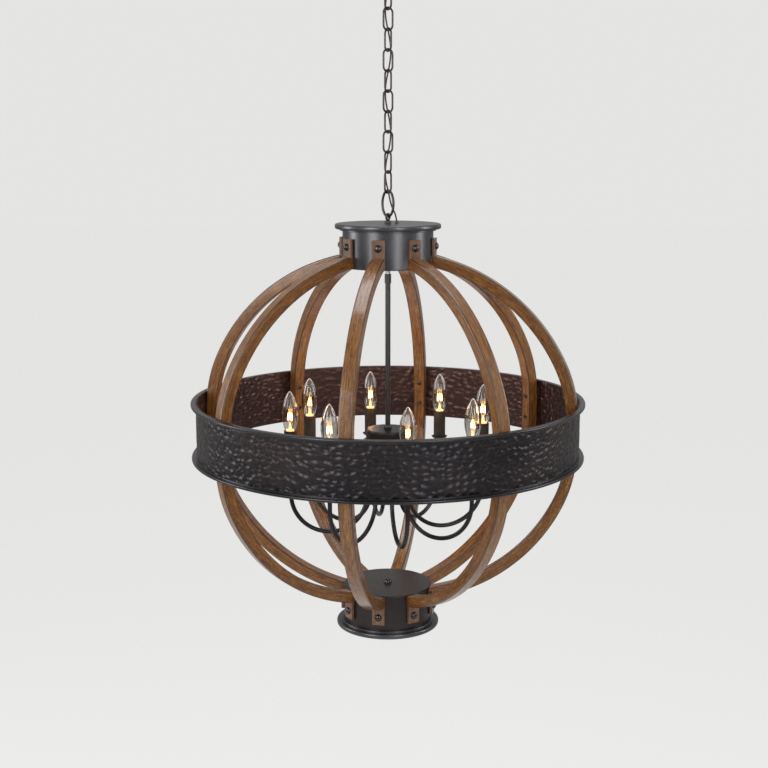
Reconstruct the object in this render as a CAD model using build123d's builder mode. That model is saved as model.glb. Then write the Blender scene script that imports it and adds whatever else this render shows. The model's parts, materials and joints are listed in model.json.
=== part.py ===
"""Orb chandelier: eight bent wood ribs and a hammered band round an eight-light candle cluster.

Millimetres, +Z up.  The origin is the middle of the ceiling face, so everything hangs below it.
"""

import os
from math import acos, atan2, cos, degrees, pi, radians, sin, sqrt, tan

from build123d import *

os.makedirs("parts", exist_ok=True)


def save(piece, name):
    """Label a finished piece and write its file."""
    piece.part.label = name
    export_step(piece.part, f"parts/{name}.step")


def upright_plane(turn, z=0.0):
    """A plane through the axis, with its x outwards at this plan angle and its y upwards."""
    turn = radians(turn)
    return Plane(origin=(0, 0, z), x_dir=(cos(turn), sin(turn), 0), z_dir=(sin(turn), -cos(turn), 0))


def radial_planes(turns, reach, z, facing=1):
    """Planes across the radius at these plan angles, facing outwards, or inwards with -1."""
    planes = []
    for turn in turns:
        x, y = cos(radians(turn)), sin(radians(turn))
        planes.append(Plane(origin=(reach * x, reach * y, z), z_dir=(facing * x, facing * y, 0)))
    return planes


# ---------------------------------------------------------------- driving dimensions
seat_gap = 0.05  # between pieces of one body that are screwed or pressed together
link_play = 0.3  # between the wires of pieces that swing on each other

# ceiling gear
canopy_d = 130.0
canopy_drop = 26.0
canopy_wall = 1.2
canopy_edge_r = 12.0
crossbar_length = 112.0
crossbar_width = 20.0
crossbar_t = 2.5
crossbar_corner_r = 5.0
slot_spacing = 88.9  # outlet-box screws, 3 1/2 in
slot_length = 14.0
slot_width = 4.8
nipple_d = 9.5  # every threaded tube in the fixture
nipple_bore_d = 6.0
nut_across_flats = 15.0
nut_t = 4.0
ring_nut_d = 24.0
ring_nut_h = 7.0
ring_nut_taper = 2.0
blind_end = 1.0  # left closed at the end of a blind thread
thread_end = 1.0  # of a screw or a tube past its nut
canopy_eye_r = 9.0  # middle of the wire
canopy_eye_wire = 5.0

# chain
link_count = 11
link_length = 45.0
link_width = 24.0
link_wire = 3.7
chain_turn = 34.0  # plan angle of the flat of the top link
last_link_turn = 54.0  # the lowest link has turned on its neighbour
ring_height = 54.0
ring_width = 30.5
ring_wire = 4.8
hub_eye_r = 5.6
hub_eye_wire = 4.4
hub_eye_collar_d = 13.0
hub_eye_collar_h = 5.2
hub_eye_collar_taper = 1.0
hub_eye_collar_floor = 2.0  # closed, under the eye
hub_eye_sink = 1.0  # of the eye's wire into its collar

# supply cord, woven down through the links
cord_d = 3.0
cord_weave_r = 5.5
cord_weave_turn = 79.0  # plan angle of the cord where the top link meets the next
bushing_d = 7.0
bushing_flange_d = 9.6
bushing_flange_h = 1.5
bushing_taper = 0.5
bushing_reach = 18.0  # from the axis to the bushing in the canopy and in the top plate
canopy_bushing_turn = 100.0
hub_bushing_turn = 20.0

# hubs
plate_t = 10.0
plate_lip = 9.5  # of the plate past its step
plate_step_w = 5.3  # of the step past the drum
plate_step_h = 3.0
plate_edge_r = 3.0
drum_d = 173.4
drum_height = 73.0
drum_wall = 1.5
drum_edge_r = 2.0
hub_span = 796.8  # from the face of the top plate to the face of the bottom plate

# ribs
rib_count = 8
rib_turn = 33.3
rib_width = 25.0
rib_t = 22.0
rib_straight = 50.0  # against the band
rib_flank_r = 266.0  # outer face, next to the straight
rib_flank_turn = 25.0
rib_shoulder_drop = 50.2  # of the outer face where it meets the tab, from the plate
rib_ease = 3.0
tab_t = 6.0
tab_rise = 35.0  # above the rib's outer face, up the drum
rib_screw_d = 5.0
rib_screw_head_d = 14.0
rib_screw_head_h = 5.5
rib_screw_rise = 18.5
rib_nut_flats = 9.0
rib_nut_play = 0.2  # to the curved inside of the drum
bolt_head_h = 4.0  # of the long bolt through the bottom drum
dome_nut_d = 16.0
dome_nut_edge_r = 6.4

# band
band_d = 743.0
band_wall = 2.5
band_height = 110.6
band_lift = 5.0  # the band sits this much above the middle of the orb
rim_width = 9.5  # out from the band, which makes it 762 mm, or 30 in, across
rim_t = 5.5
rim_edge_r = 2.4
rim_bead = 2.4
band_screw_d = 4.0
band_screw_head_d = 9.0
band_screw_head_h = 2.4
band_screw_rise = 22.0
band_screw_bite = 1.5
band_screw_play = 0.15  # the ribs begin to bow under the heads

# stem and cluster
coupler_d = 12.6
coupler_length = 18.0
coupler_drop = 13.5  # below the top drum
coupler_taper = 0.8
stem_d = 10.0
stem_bore_d = 7.6
stem_collar_d = 15.0
stem_collar_h = 8.0
stem_collar_foot = 3.0  # straight, under its taper
stem_collar_taper = 1.8
cover_top_drop = 6.0  # below the middle of the band
cover_d = 86.0
cover_height = 23.0
cover_wall = 1.2
cover_edge_r = 4.0
base_d = 98.0
base_t = 3.0
base_edge_r = 1.2
stem_end = 2.0  # past the nut under the base

# arms and candles
light_count = 8
arm_d = 8.5
arm_root_r = 34.0
arm_root_rise = 6.0  # through the base, with a nut on it
arm_nut_corner_d = 12.2
arm_low_r = 112.0
arm_low_drop = 209.0  # below the middle of the band
arm_bend_r = 70.0
arm_straight = 4.0  # square to the base before the lean
light_r = 192.0
candle_top_drop = 2.0  # below the middle of the band
dish_d = 33.0
dish_t = 1.2
dish_rise = 4.0
sleeve_d = 24.0
sleeve_wall = 1.2
sleeve_height = 58.0
socket_d = 20.0
socket_top_gap = 8.0
socket_floor = 8.0  # of the socket, on the arm's end
cap_d = 12.0  # screw cap of the lamp
cap_height = 22.0
cap_tip_d = 6.0
cap_tip_h = 4.4
cap_shoulder = 0.6  # where the screw begins
bulb_d = 32.0
bulb_height = 77.0  # above the sleeve
bulb_belly_rise = 33.0
bulb_mouth_d = 19.0
bulb_neck_d = 13.0
bulb_neck_drop = 8.0
bulb_tip_r = 3.0
bulb_wall = 0.8
filament_mount_d = 7.8  # foot of the glass mount
filament_mount_rise = 12.3  # its tip, above the sleeve
filament_rise = 26.0  # the corners of the filament, above the sleeve
filament_top_rise = 32.5
filament_width = 9.6
filament_wire = 0.7

# ---------------------------------------------------------------- worked out from the above
link_span = link_length - link_wire
link_pitch = link_span - link_wire - link_play
canopy_eye_z = -(canopy_drop + ring_nut_h + canopy_eye_r)
chain_top_z = canopy_eye_z - canopy_eye_r + (canopy_eye_wire + link_wire) / 2 + link_play
chain_end_z = chain_top_z - (link_count - 1) * link_pitch - link_span
ring_top_z = chain_end_z + (link_wire + ring_wire) / 2 + link_play
ring_end_z = ring_top_z - (ring_height - ring_wire)
hub_eye_z = ring_end_z + (ring_wire + hub_eye_wire) / 2 + link_play - hub_eye_r
hub_top_z = hub_eye_z - hub_eye_r - hub_eye_wire / 2 - hub_eye_collar_h + hub_eye_sink
orb_z = hub_top_z - hub_span / 2
band_z = orb_z + band_lift
drum_top_z = hub_top_z - plate_t
drum_end_z = drum_top_z - drum_height
plate_step_d = drum_d + 2 * plate_step_w
plate_d = plate_step_d + 2 * plate_lip
base_face_z = orb_z - hub_span / 2
cap_face_z = 2 * orb_z - drum_end_z
orb_plane = Plane.XY.offset(orb_z)
rib_turns = [rib_turn + k * 360 / rib_count for k in range(rib_count)]
light_turn = rib_turn + 180 / rib_count  # the lamps stand between the ribs
light_turns = [light_turn + k * 360 / light_count for k in range(light_count)]

band_inner_r = band_d / 2 - band_wall
rib_face_r = sqrt(band_inner_r**2 - (rib_width / 2) ** 2) - seat_gap
tab_face_r = drum_d / 2 + tab_t
rib_shoulder_z = hub_span / 2 - plate_t - rib_shoulder_drop
rib_screw_z = rib_shoulder_z + rib_screw_rise

# The rib's outer face: a flank arc, then the one crown arc that runs on from it to the shoulder.
flank_x = rib_face_r - rib_flank_r
flank_z = rib_straight / 2
flank_way = Vector(cos(radians(rib_flank_turn)), sin(radians(rib_flank_turn)))
flank_end = Vector(flank_x, flank_z) + flank_way * rib_flank_r
crown_chord = flank_end - Vector(tab_face_r, rib_shoulder_z)
rib_crown_r = crown_chord.length**2 / (2 * flank_way.dot(crown_chord))
crown_x, crown_z, _ = flank_end - flank_way * rib_crown_r
print("rib crown radius", round(rib_crown_r, 1))

cover_top_z = band_z - cover_top_drop
base_top_z = cover_top_z - cover_height
candle_top_z = band_z - candle_top_drop
dish_z = candle_top_z - sleeve_height
coupler_top_z = drum_end_z - coupler_drop
coupler_end_z = coupler_top_z - coupler_length


# ---------------------------------------------------------------- ceiling gear
with BuildPart() as canopy:
    with Locations((0, 0, -canopy_drop / 2)):
        Cylinder(canopy_d / 2, canopy_drop)
    fillet(canopy.edges().filter_by(GeomType.CIRCLE).sort_by(Axis.Z)[0], canopy_edge_r)
    offset(amount=-canopy_wall, openings=canopy.faces().sort_by(Axis.Z)[-1])
    with Locations((0, 0, -canopy_drop + canopy_wall)):
        Hole(nipple_d / 2 + seat_gap, 2 * canopy_wall)
        with PolarLocations(bushing_reach, 1, start_angle=canopy_bushing_turn):
            Hole(bushing_d / 2 + seat_gap, 2 * canopy_wall)
save(canopy, "canopy")

with BuildPart() as crossbar:
    with BuildSketch():
        RectangleRounded(crossbar_length, crossbar_width, crossbar_corner_r)
        Circle(nipple_d / 2 + seat_gap, mode=Mode.SUBTRACT)
        with Locations((-slot_spacing / 2, 0), (slot_spacing / 2, 0)):
            SlotOverall(slot_length, slot_width, mode=Mode.SUBTRACT)
    extrude(amount=-crossbar_t)
save(crossbar, "crossbar")

with BuildPart() as hex_nut_form:
    with BuildSketch():
        RegularPolygon(nut_across_flats / 2, 6, major_radius=False)
        Circle(nipple_d / 2 + seat_gap, mode=Mode.SUBTRACT)
    extrude(amount=nut_t)

with BuildPart() as crossbar_nut:
    with Locations((0, 0, -crossbar_t - nut_t)):
        add(hex_nut_form.part)
save(crossbar_nut, "crossbar_nut")

nipple_end_z = -canopy_drop - ring_nut_h + blind_end
with BuildPart() as canopy_nipple:
    with BuildSketch():
        Circle(nipple_d / 2)
        Circle(nipple_bore_d / 2, mode=Mode.SUBTRACT)
    extrude(amount=nipple_end_z)
save(canopy_nipple, "canopy_nipple")

with BuildPart() as canopy_loop:
    with BuildSketch(Plane.XY.offset(-canopy_drop)):
        Circle(ring_nut_d / 2)
    extrude(amount=-ring_nut_h)
    chamfer(canopy_loop.edges().sort_by(Axis.Z)[0], ring_nut_taper)
    with Locations(upright_plane(chain_turn - 90, canopy_eye_z)):
        Torus(canopy_eye_r, canopy_eye_wire / 2)
    with Locations((0, 0, nipple_end_z)):
        Cylinder(
            nipple_d / 2 + seat_gap,
            -canopy_drop - nipple_end_z,
            align=(Align.CENTER, Align.CENTER, Align.MIN),
            mode=Mode.SUBTRACT,
        )
save(canopy_loop, "canopy_loop")

# A cord bushing: a flange under the sheet and a spigot up through it.  The cord ends in it.
with BuildPart() as bushing_form:
    Cylinder(
        bushing_flange_d / 2, bushing_flange_h, align=(Align.CENTER, Align.CENTER, Align.MAX)
    )
    Cylinder(bushing_d / 2, 2 * canopy_wall, align=(Align.CENTER, Align.CENTER, Align.MIN))
    chamfer(bushing_form.edges().sort_by(Axis.Z)[0], bushing_taper)

with BuildPart(Plane.XY.offset(-canopy_drop)) as canopy_bushing:
    with PolarLocations(bushing_reach, 1, start_angle=canopy_bushing_turn):
        add(bushing_form.part)
save(canopy_bushing, "canopy_bushing")

# ---------------------------------------------------------------- chain
with BuildPart() as link_form:
    # hangs from the middle of its own top wire, flat in the XZ plane
    end_r = (link_width - link_wire) / 2
    with BuildLine(Plane.XZ):
        Line((end_r, -end_r), (end_r, end_r - link_span))
        RadiusArc((end_r, end_r - link_span), (-end_r, end_r - link_span), end_r)
        Line((-end_r, end_r - link_span), (-end_r, -end_r))
        RadiusArc((-end_r, -end_r), (end_r, -end_r), end_r)
    with BuildSketch(Plane(origin=(end_r, 0, -end_r), z_dir=(0, 0, -1))):
        Circle(link_wire / 2)
    sweep()

with BuildPart() as top_link:
    with Locations(Location((0, 0, chain_top_z), (0, 0, chain_turn))):
        add(link_form.part)
save(top_link, "top_link")

with BuildPart() as chain_links:
    for i in range(1, link_count):
        turn = chain_turn - 90 * (i % 2)
        if i == link_count - 1:
            turn = last_link_turn
        with Locations(Location((0, 0, chain_top_z - i * link_pitch), (0, 0, turn))):
            add(link_form.part)
save(chain_links, "chain_links")

# ---------------------------------------------------------------- oval ring and its loop
with BuildPart() as hang_ring:
    ring_r = (ring_width - ring_wire) / 2
    ring_half = (ring_height - ring_wire) / 2
    with BuildLine(upright_plane(last_link_turn - 90, ring_top_z)) as oval:
        EllipticalCenterArc((0, -ring_half), ring_r, ring_half, start_angle=0, arc_size=360)
    with BuildSketch(Plane(origin=oval.line @ 0, z_dir=oval.line % 0)):
        Circle(ring_wire / 2)
    sweep()
save(hang_ring, "hang_ring")

with BuildPart() as hub_loop:
    with Locations(upright_plane(last_link_turn, hub_eye_z)):
        Torus(hub_eye_r, hub_eye_wire / 2)
    with BuildSketch(Plane.XY.offset(hub_top_z)):
        Circle(hub_eye_collar_d / 2)
    extrude(amount=hub_eye_collar_h)
    chamfer(hub_loop.faces().sort_by(Axis.Z)[0].edges(), hub_eye_collar_taper)
    with BuildSketch(Plane.XY.offset(hub_top_z)):
        Circle(nipple_d / 2 + seat_gap)
    extrude(amount=hub_eye_collar_h - hub_eye_collar_floor, mode=Mode.SUBTRACT)
save(hub_loop, "hub_loop")

with BuildPart(Plane.XY.offset(hub_top_z)) as hub_bushing:
    with PolarLocations(bushing_reach, 1, start_angle=hub_bushing_turn):
        add(bushing_form.part, rotation=(180, 0, 0))
save(hub_bushing, "hub_bushing")

# ---------------------------------------------------------------- hubs
with BuildPart() as top_plate:
    with BuildSketch(Plane.XY.offset(hub_top_z)):
        Circle(plate_d / 2)
    extrude(amount=-plate_t)
    fillet(top_plate.edges().filter_by(GeomType.CIRCLE), plate_edge_r)
    with BuildSketch(Plane.XY.offset(drum_top_z)):
        Circle(plate_step_d / 2)
        Circle(drum_d / 2 + seat_gap, mode=Mode.SUBTRACT)
    extrude(amount=-plate_step_h)
    with Locations((0, 0, hub_top_z)):
        Hole(nipple_d / 2 + seat_gap)
        with PolarLocations(bushing_reach, 1, start_angle=hub_bushing_turn):
            Hole(bushing_d / 2 + seat_gap)
save(top_plate, "top_plate")

with BuildPart() as top_drum:
    with BuildSketch(Plane.XY.offset(drum_top_z)):
        Circle(drum_d / 2)
    extrude(amount=-drum_height)
    fillet(top_drum.edges().filter_by(GeomType.CIRCLE).sort_by(Axis.Z)[0], drum_edge_r)
    offset(amount=-drum_wall, openings=top_drum.faces().sort_by(Axis.Z)[-1])
    with Locations((0, 0, drum_end_z + drum_wall)):
        Hole(nipple_d / 2 + seat_gap, 2 * drum_wall)
    with Locations(radial_planes(rib_turns, drum_d / 2, orb_z + rib_screw_z)):
        Hole(rib_screw_d / 2 + seat_gap, 2 * drum_wall)
save(top_drum, "top_drum")

# The rib's screw lies along +X with its head outwards, from the face of the tab.
rib_screw_length = tab_t + drum_wall + nut_t + thread_end
with BuildPart() as rib_screw_form:
    with BuildSketch(Plane.XZ):
        with BuildLine():
            dome = ThreePointArc(
                (rib_screw_head_h, 0),
                (0.7 * rib_screw_head_h, 0.3 * rib_screw_head_d),
                (0, rib_screw_head_d / 2),
            )
            Polyline(
                dome @ 1,
                (0, rib_screw_d / 2),
                (-rib_screw_length, rib_screw_d / 2),
                (-rib_screw_length, 0),
                dome @ 0,
            )
        make_face()
    revolve(axis=Axis.X)

with BuildPart() as rib_nut_form:
    with BuildSketch(Plane.YZ):
        RegularPolygon(rib_nut_flats / 2, 6, major_radius=False)
        Circle(rib_screw_d / 2 + seat_gap, mode=Mode.SUBTRACT)
    extrude(amount=-nut_t)

with BuildPart(Plane.XY.offset(orb_z + rib_screw_z)) as top_rib_screws:
    with PolarLocations(tab_face_r + seat_gap, rib_count, start_angle=rib_turn):
        add(rib_screw_form.part)
save(top_rib_screws, "top_rib_screws")

nut_face_r = sqrt((drum_d / 2 - drum_wall) ** 2 - (rib_nut_flats / 2) ** 2) - rib_nut_play
with BuildPart(Plane.XY.offset(orb_z + rib_screw_z)) as top_rib_nuts:
    with PolarLocations(nut_face_r, rib_count, start_angle=rib_turn):
        add(rib_nut_form.part)
save(top_rib_nuts, "top_rib_nuts")

with BuildPart() as hub_nipple:
    nipple_top_z = hub_top_z + hub_eye_collar_h - hub_eye_collar_floor - seat_gap
    with BuildSketch(Plane.XY.offset(nipple_top_z)):
        Circle(nipple_d / 2)
        Circle(nipple_bore_d / 2, mode=Mode.SUBTRACT)
    extrude(amount=coupler_top_z - coupler_length / 2 - nipple_top_z)
save(hub_nipple, "hub_nipple")

with BuildPart() as hub_nuts:
    with Locations((0, 0, drum_top_z - nut_t - seat_gap), (0, 0, drum_end_z + drum_wall + seat_gap)):
        add(hex_nut_form.part)
save(hub_nuts, "hub_nuts")

# The bottom hub is the same parts turned over about the middle of the orb.
with BuildPart() as bottom_plate:
    with BuildSketch(Plane.XY.offset(base_face_z)):
        Circle(plate_d / 2)
    extrude(amount=plate_t)
    fillet(bottom_plate.edges().filter_by(GeomType.CIRCLE), plate_edge_r)
    with BuildSketch(Plane.XY.offset(base_face_z + plate_t)):
        Circle(plate_step_d / 2)
        Circle(drum_d / 2 + seat_gap, mode=Mode.SUBTRACT)
    extrude(amount=plate_step_h)
    with Locations((0, 0, base_face_z + plate_t)):
        Hole(nipple_d / 2 + seat_gap)
save(bottom_plate, "bottom_plate")

with BuildPart() as bottom_drum:
    mirror(top_drum.part, about=orb_plane)
save(bottom_drum, "bottom_drum")

with BuildPart() as bottom_rib_screws:
    mirror(top_rib_screws.part, about=orb_plane)
save(bottom_rib_screws, "bottom_rib_screws")

with BuildPart() as bottom_rib_nuts:
    mirror(top_rib_nuts.part, about=orb_plane)
save(bottom_rib_nuts, "bottom_rib_nuts")

# A long bolt clamps the bottom drum between its plate and the dome nut on its cap.
with BuildPart() as base_bolt:
    with BuildSketch(Plane.XY.offset(base_face_z - seat_gap)):
        RegularPolygon(nut_across_flats / 2, 6, major_radius=False)
    extrude(amount=-bolt_head_h)
    with BuildSketch(Plane.XY.offset(base_face_z - seat_gap)):
        Circle(nipple_d / 2)
    extrude(amount=cap_face_z + nut_t - base_face_z)
save(base_bolt, "base_bolt")

with BuildPart() as dome_nut:
    with BuildSketch(Plane.XY.offset(cap_face_z + seat_gap)):
        Circle(dome_nut_d / 2)
    extrude(amount=dome_nut_d / 2)
    fillet(dome_nut.faces().sort_by(Axis.Z)[-1].edges(), dome_nut_edge_r)
    with Locations(Plane(origin=(0, 0, cap_face_z), z_dir=(0, 0, -1))):
        Hole(nipple_d / 2 + seat_gap, nut_t + 2 * seat_gap)
save(dome_nut, "dome_nut")

# ---------------------------------------------------------------- ribs
# One rib, bowed outwards along +X, with the middle of the orb at the origin.
crown_end = degrees(acos((drum_d / 4 - crown_x) / rib_crown_r))
with BuildPart() as rib_form:
    with BuildSketch(Plane.XZ):
        with BuildLine():
            for inset in (0, rib_t):
                foot = (rib_face_r - inset, 0)
                Line(foot, (rib_face_r - inset, flank_z))
                CenterArc((flank_x, flank_z), rib_flank_r - inset, 0, rib_flank_turn)
                crown = CenterArc(
                    (crown_x, crown_z),
                    rib_crown_r - inset,
                    rib_flank_turn,
                    crown_end - rib_flank_turn,
                )
                if inset == 0:
                    outer_end = crown @ 1
            Line(outer_end, crown @ 1)
            Line(foot, (rib_face_r, 0))
        make_face()
        mirror(about=Plane.XZ)
    extrude(amount=rib_width / 2, both=True)
    chamfer(rib_form.faces().filter_by(Axis.Y).edges(), rib_ease)
    for end in (1, -1):
        with Locations((drum_d / 4, 0, end * (rib_shoulder_z + (tab_rise - rib_t / 2) / 2))):
            Box(
                tab_face_r - drum_d / 4,
                rib_width,
                tab_rise + rib_t / 2,
                align=(Align.MIN, Align.CENTER, Align.CENTER),
            )
    Cylinder(drum_d / 2 + seat_gap, 2 * hub_span, mode=Mode.SUBTRACT)
    for end in (1, -1):
        with Locations(Plane(origin=(tab_face_r, 0, end * rib_screw_z), z_dir=(1, 0, 0))):
            Hole(rib_screw_d / 2 + seat_gap, 2 * tab_t)
        screw_z = band_lift + end * band_screw_rise
        with Locations(Plane(origin=(rib_face_r - rib_t, 0, screw_z), z_dir=(-1, 0, 0))):
            Hole(band_screw_d / 2 + seat_gap, rib_t)

for number, turn in enumerate(rib_turns, 1):
    with BuildPart(orb_plane) as rib:
        with Locations(Location((0, 0, 0), (0, 0, turn))):
            add(rib_form.part)
    save(rib, f"rib_{number}")

# ---------------------------------------------------------------- band
band_top_z = band_z + band_height / 2
with BuildPart() as band:
    with BuildSketch(Plane.XY.offset(band_top_z)):
        Circle(band_d / 2)
        Circle(band_inner_r, mode=Mode.SUBTRACT)
    extrude(amount=-band_height)
    for rise in (band_screw_rise, -band_screw_rise):
        with Locations(radial_planes(rib_turns, rib_face_r, band_z + rise, -1)):
            Hole(band_screw_d / 2 + seat_gap, band_inner_r - rib_face_r + band_screw_bite)
save(band, "band")

# A flat hoop with a rolled edge, and a bead where it meets the wall.
with BuildPart() as band_top_rim:
    with BuildSketch(Plane.XZ) as rim_profile:
        with Locations((band_d / 2 + seat_gap, band_top_z)):
            Rectangle(
                rim_width - seat_gap, rim_t, align=(Align.MIN, Align.MAX)
            )
            Rectangle(rim_bead, rim_t + rim_bead, align=(Align.MIN, Align.MAX))
        fillet(rim_profile.vertices().group_by(Axis.X)[-1], rim_edge_r)
    revolve(axis=Axis.Z)
save(band_top_rim, "band_top_rim")

with BuildPart() as band_bottom_rim:
    mirror(band_top_rim.part, about=Plane.XY.offset(band_z))
save(band_bottom_rim, "band_bottom_rim")

with BuildPart() as band_screw_form:
    band_screw_length = rib_t + (band_inner_r - rib_face_r) + band_screw_bite - seat_gap
    with BuildSketch(Plane.XZ):
        with BuildLine():
            Polyline(
                (0, band_screw_head_d / 2),
                (0, band_screw_d / 2),
                (band_screw_length, band_screw_d / 2),
                (band_screw_length, 0),
                (-band_screw_head_h, 0),
            )
            ThreePointArc(
                (-band_screw_head_h, 0),
                (-0.7 * band_screw_head_h, 0.3 * band_screw_head_d),
                (0, band_screw_head_d / 2),
            )
        make_face()
    revolve(axis=Axis.X)

band_screw_seat_r = rib_face_r - rib_t - band_screw_play
with BuildPart(orb_plane) as band_screws:
    for rise in (band_screw_rise, -band_screw_rise):
        with Locations((0, 0, band_lift + rise)):
            with PolarLocations(band_screw_seat_r, rib_count, start_angle=rib_turn):
                add(band_screw_form.part)
save(band_screws, "band_screws")

# ---------------------------------------------------------------- stem
with BuildPart() as stem_coupler:
    with BuildSketch(Plane.XY.offset(coupler_top_z)):
        Circle(coupler_d / 2)
    extrude(amount=-coupler_length)
    chamfer(stem_coupler.faces().filter_by(Axis.Z).edges(), coupler_taper)
    with Locations((0, 0, coupler_top_z)):
        Hole(nipple_d / 2 + seat_gap, coupler_length / 2)
    with Locations(Plane(origin=(0, 0, coupler_end_z), z_dir=(0, 0, -1))):
        Hole(stem_d / 2 + seat_gap, coupler_length / 2)
save(stem_coupler, "stem_coupler")

stem_top_z = coupler_end_z + coupler_length / 2 - seat_gap
stem_end_z = base_top_z - base_t - nut_t - stem_end
with BuildPart() as stem:
    with BuildSketch(Plane.XY.offset(stem_top_z)):
        Circle(stem_d / 2)
        Circle(stem_bore_d / 2, mode=Mode.SUBTRACT)
    extrude(amount=stem_end_z - stem_top_z)
save(stem, "stem")

# ---------------------------------------------------------------- cluster
with BuildPart() as stem_collar:
    with BuildSketch(Plane.XY.offset(cover_top_z)):
        Circle(stem_collar_d / 2)
    extrude(amount=stem_collar_h)
    chamfer(
        stem_collar.faces().sort_by(Axis.Z)[-1].edges(),
        stem_collar_h - stem_collar_foot,
        stem_collar_taper,
    )
    with Locations((0, 0, cover_top_z)):
        Hole(stem_d / 2 + seat_gap)
save(stem_collar, "stem_collar")

with BuildPart() as cluster_cover:
    with BuildSketch(Plane.XY.offset(base_top_z)):
        Circle(cover_d / 2)
    extrude(amount=cover_height)
    fillet(cluster_cover.edges().filter_by(GeomType.CIRCLE).sort_by(Axis.Z)[-1], cover_edge_r)
    offset(amount=-cover_wall, openings=cluster_cover.faces().sort_by(Axis.Z)[0])
    with Locations((0, 0, cover_top_z)):
        Hole(stem_d / 2 + seat_gap)
save(cluster_cover, "cluster_cover")

with BuildPart() as cluster_base:
    with BuildSketch(Plane.XY.offset(base_top_z)):
        Circle(base_d / 2)
    extrude(amount=-base_t)
    fillet(cluster_base.edges().filter_by(GeomType.CIRCLE), base_edge_r)
    with Locations((0, 0, base_top_z)):
        Hole(stem_d / 2 + seat_gap)
        with PolarLocations(arm_root_r, light_count, start_angle=light_turn):
            Hole(arm_d / 2 + seat_gap)
save(cluster_base, "cluster_base")

with BuildPart() as cluster_nut:
    with BuildSketch(Plane.XY.offset(base_top_z - base_t - seat_gap)):
        RegularPolygon(nut_across_flats / 2, 6, major_radius=False)
        Circle(stem_d / 2 + seat_gap, mode=Mode.SUBTRACT)
    extrude(amount=-nut_t)
save(cluster_nut, "cluster_nut")

with BuildPart() as arm_nuts:
    with BuildSketch(Plane.XY.offset(base_top_z + seat_gap)):
        with PolarLocations(arm_root_r, light_count, start_angle=light_turn):
            RegularPolygon(arm_nut_corner_d / 2, 6)
            Circle(arm_d / 2 + seat_gap, mode=Mode.SUBTRACT)
    extrude(amount=nut_t)
save(arm_nuts, "arm_nuts")

# ---------------------------------------------------------------- arms
# Down from the base, a slight lean, round the bottom in two bends and up to the candle.
arm_low_z = band_z - arm_low_drop
top_bend = (arm_root_r + arm_bend_r, base_top_z - base_t - arm_straight)
low_bend = (arm_low_r, arm_low_z + arm_bend_r)
leg_angle = atan2(low_bend[1] - top_bend[1], low_bend[0] - top_bend[0])
lean = (arm_bend_r * sin(leg_angle), -arm_bend_r * cos(leg_angle))
outer_bend_r = light_r - arm_low_r
arm_end_z = dish_z + dish_t + socket_floor

with BuildPart() as arm_form:
    with BuildLine(Plane.XZ) as route:
        root = Line((arm_root_r, base_top_z + arm_root_rise), (arm_root_r, top_bend[1]))
        ease = TangentArc(
            root @ 1, (top_bend[0] + lean[0], top_bend[1] + lean[1]), tangent=root % 1
        )
        leg = Line(ease @ 1, (low_bend[0] + lean[0], low_bend[1] + lean[1]))
        inner = TangentArc(leg @ 1, (arm_low_r, arm_low_z), tangent=leg % 1)
        outer = TangentArc(inner @ 1, (light_r, arm_low_z + outer_bend_r), tangent=inner % 1)
        Line(outer @ 1, (light_r, arm_end_z))
    with BuildSketch(Plane(origin=root @ 0, z_dir=root % 0)):
        Circle(arm_d / 2)
    sweep()

for number, turn in enumerate(light_turns, 1):
    with BuildPart() as arm:
        with Locations(Location((0, 0, 0), (0, 0, turn))):
            add(arm_form.part)
    save(arm, f"arm_{number}")

# ---------------------------------------------------------------- candles
# Each form stands on the axis at its real height and is set out round the cluster.


def save_round(form, name):
    """Write eight copies of a candle's piece, one on each arm."""
    with BuildPart() as pieces:
        with PolarLocations(light_r, light_count, start_angle=light_turn):
            add(form.part)
    save(pieces, name)


dish_flat_r = sleeve_d / 2 + dish_t
with BuildPart() as dish_form:
    with BuildSketch(Plane.XZ):
        with BuildLine():
            Polyline(
                (arm_d / 2 + seat_gap, dish_z),
                (dish_flat_r, dish_z),
                (dish_d / 2, dish_z + dish_rise),
                (dish_d / 2 - dish_t, dish_z + dish_rise),
                (dish_flat_r - dish_t / 2, dish_z + dish_t),
                (arm_d / 2 + seat_gap, dish_z + dish_t),
                close=True,
            )
        make_face()
    revolve(axis=Axis.Z)
save_round(dish_form, "candle_dishes")

with BuildPart() as sleeve_form:
    with BuildSketch(Plane.XY.offset(dish_z + dish_t + seat_gap)):
        Circle(sleeve_d / 2)
        Circle(sleeve_d / 2 - sleeve_wall, mode=Mode.SUBTRACT)
    extrude(amount=candle_top_z - dish_z - dish_t - seat_gap)
save_round(sleeve_form, "candle_sleeves")

socket_top_z = candle_top_z - socket_top_gap
cap_end_z = candle_top_z - bulb_neck_drop - cap_height
with BuildPart() as socket_form:
    with BuildSketch(Plane.XY.offset(dish_z + dish_t + seat_gap)):
        Circle(socket_d / 2)
    extrude(amount=socket_top_z - dish_z - dish_t - seat_gap)
    with Locations((0, 0, socket_top_z)):
        Hole(cap_d / 2 + 2 * seat_gap, socket_top_z - cap_end_z + seat_gap)
    with Locations(Plane(origin=(0, 0, dish_z), z_dir=(0, 0, -1))):
        Hole(arm_d / 2 + seat_gap, dish_t + socket_floor + seat_gap)
save_round(socket_form, "lamp_sockets")

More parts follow.
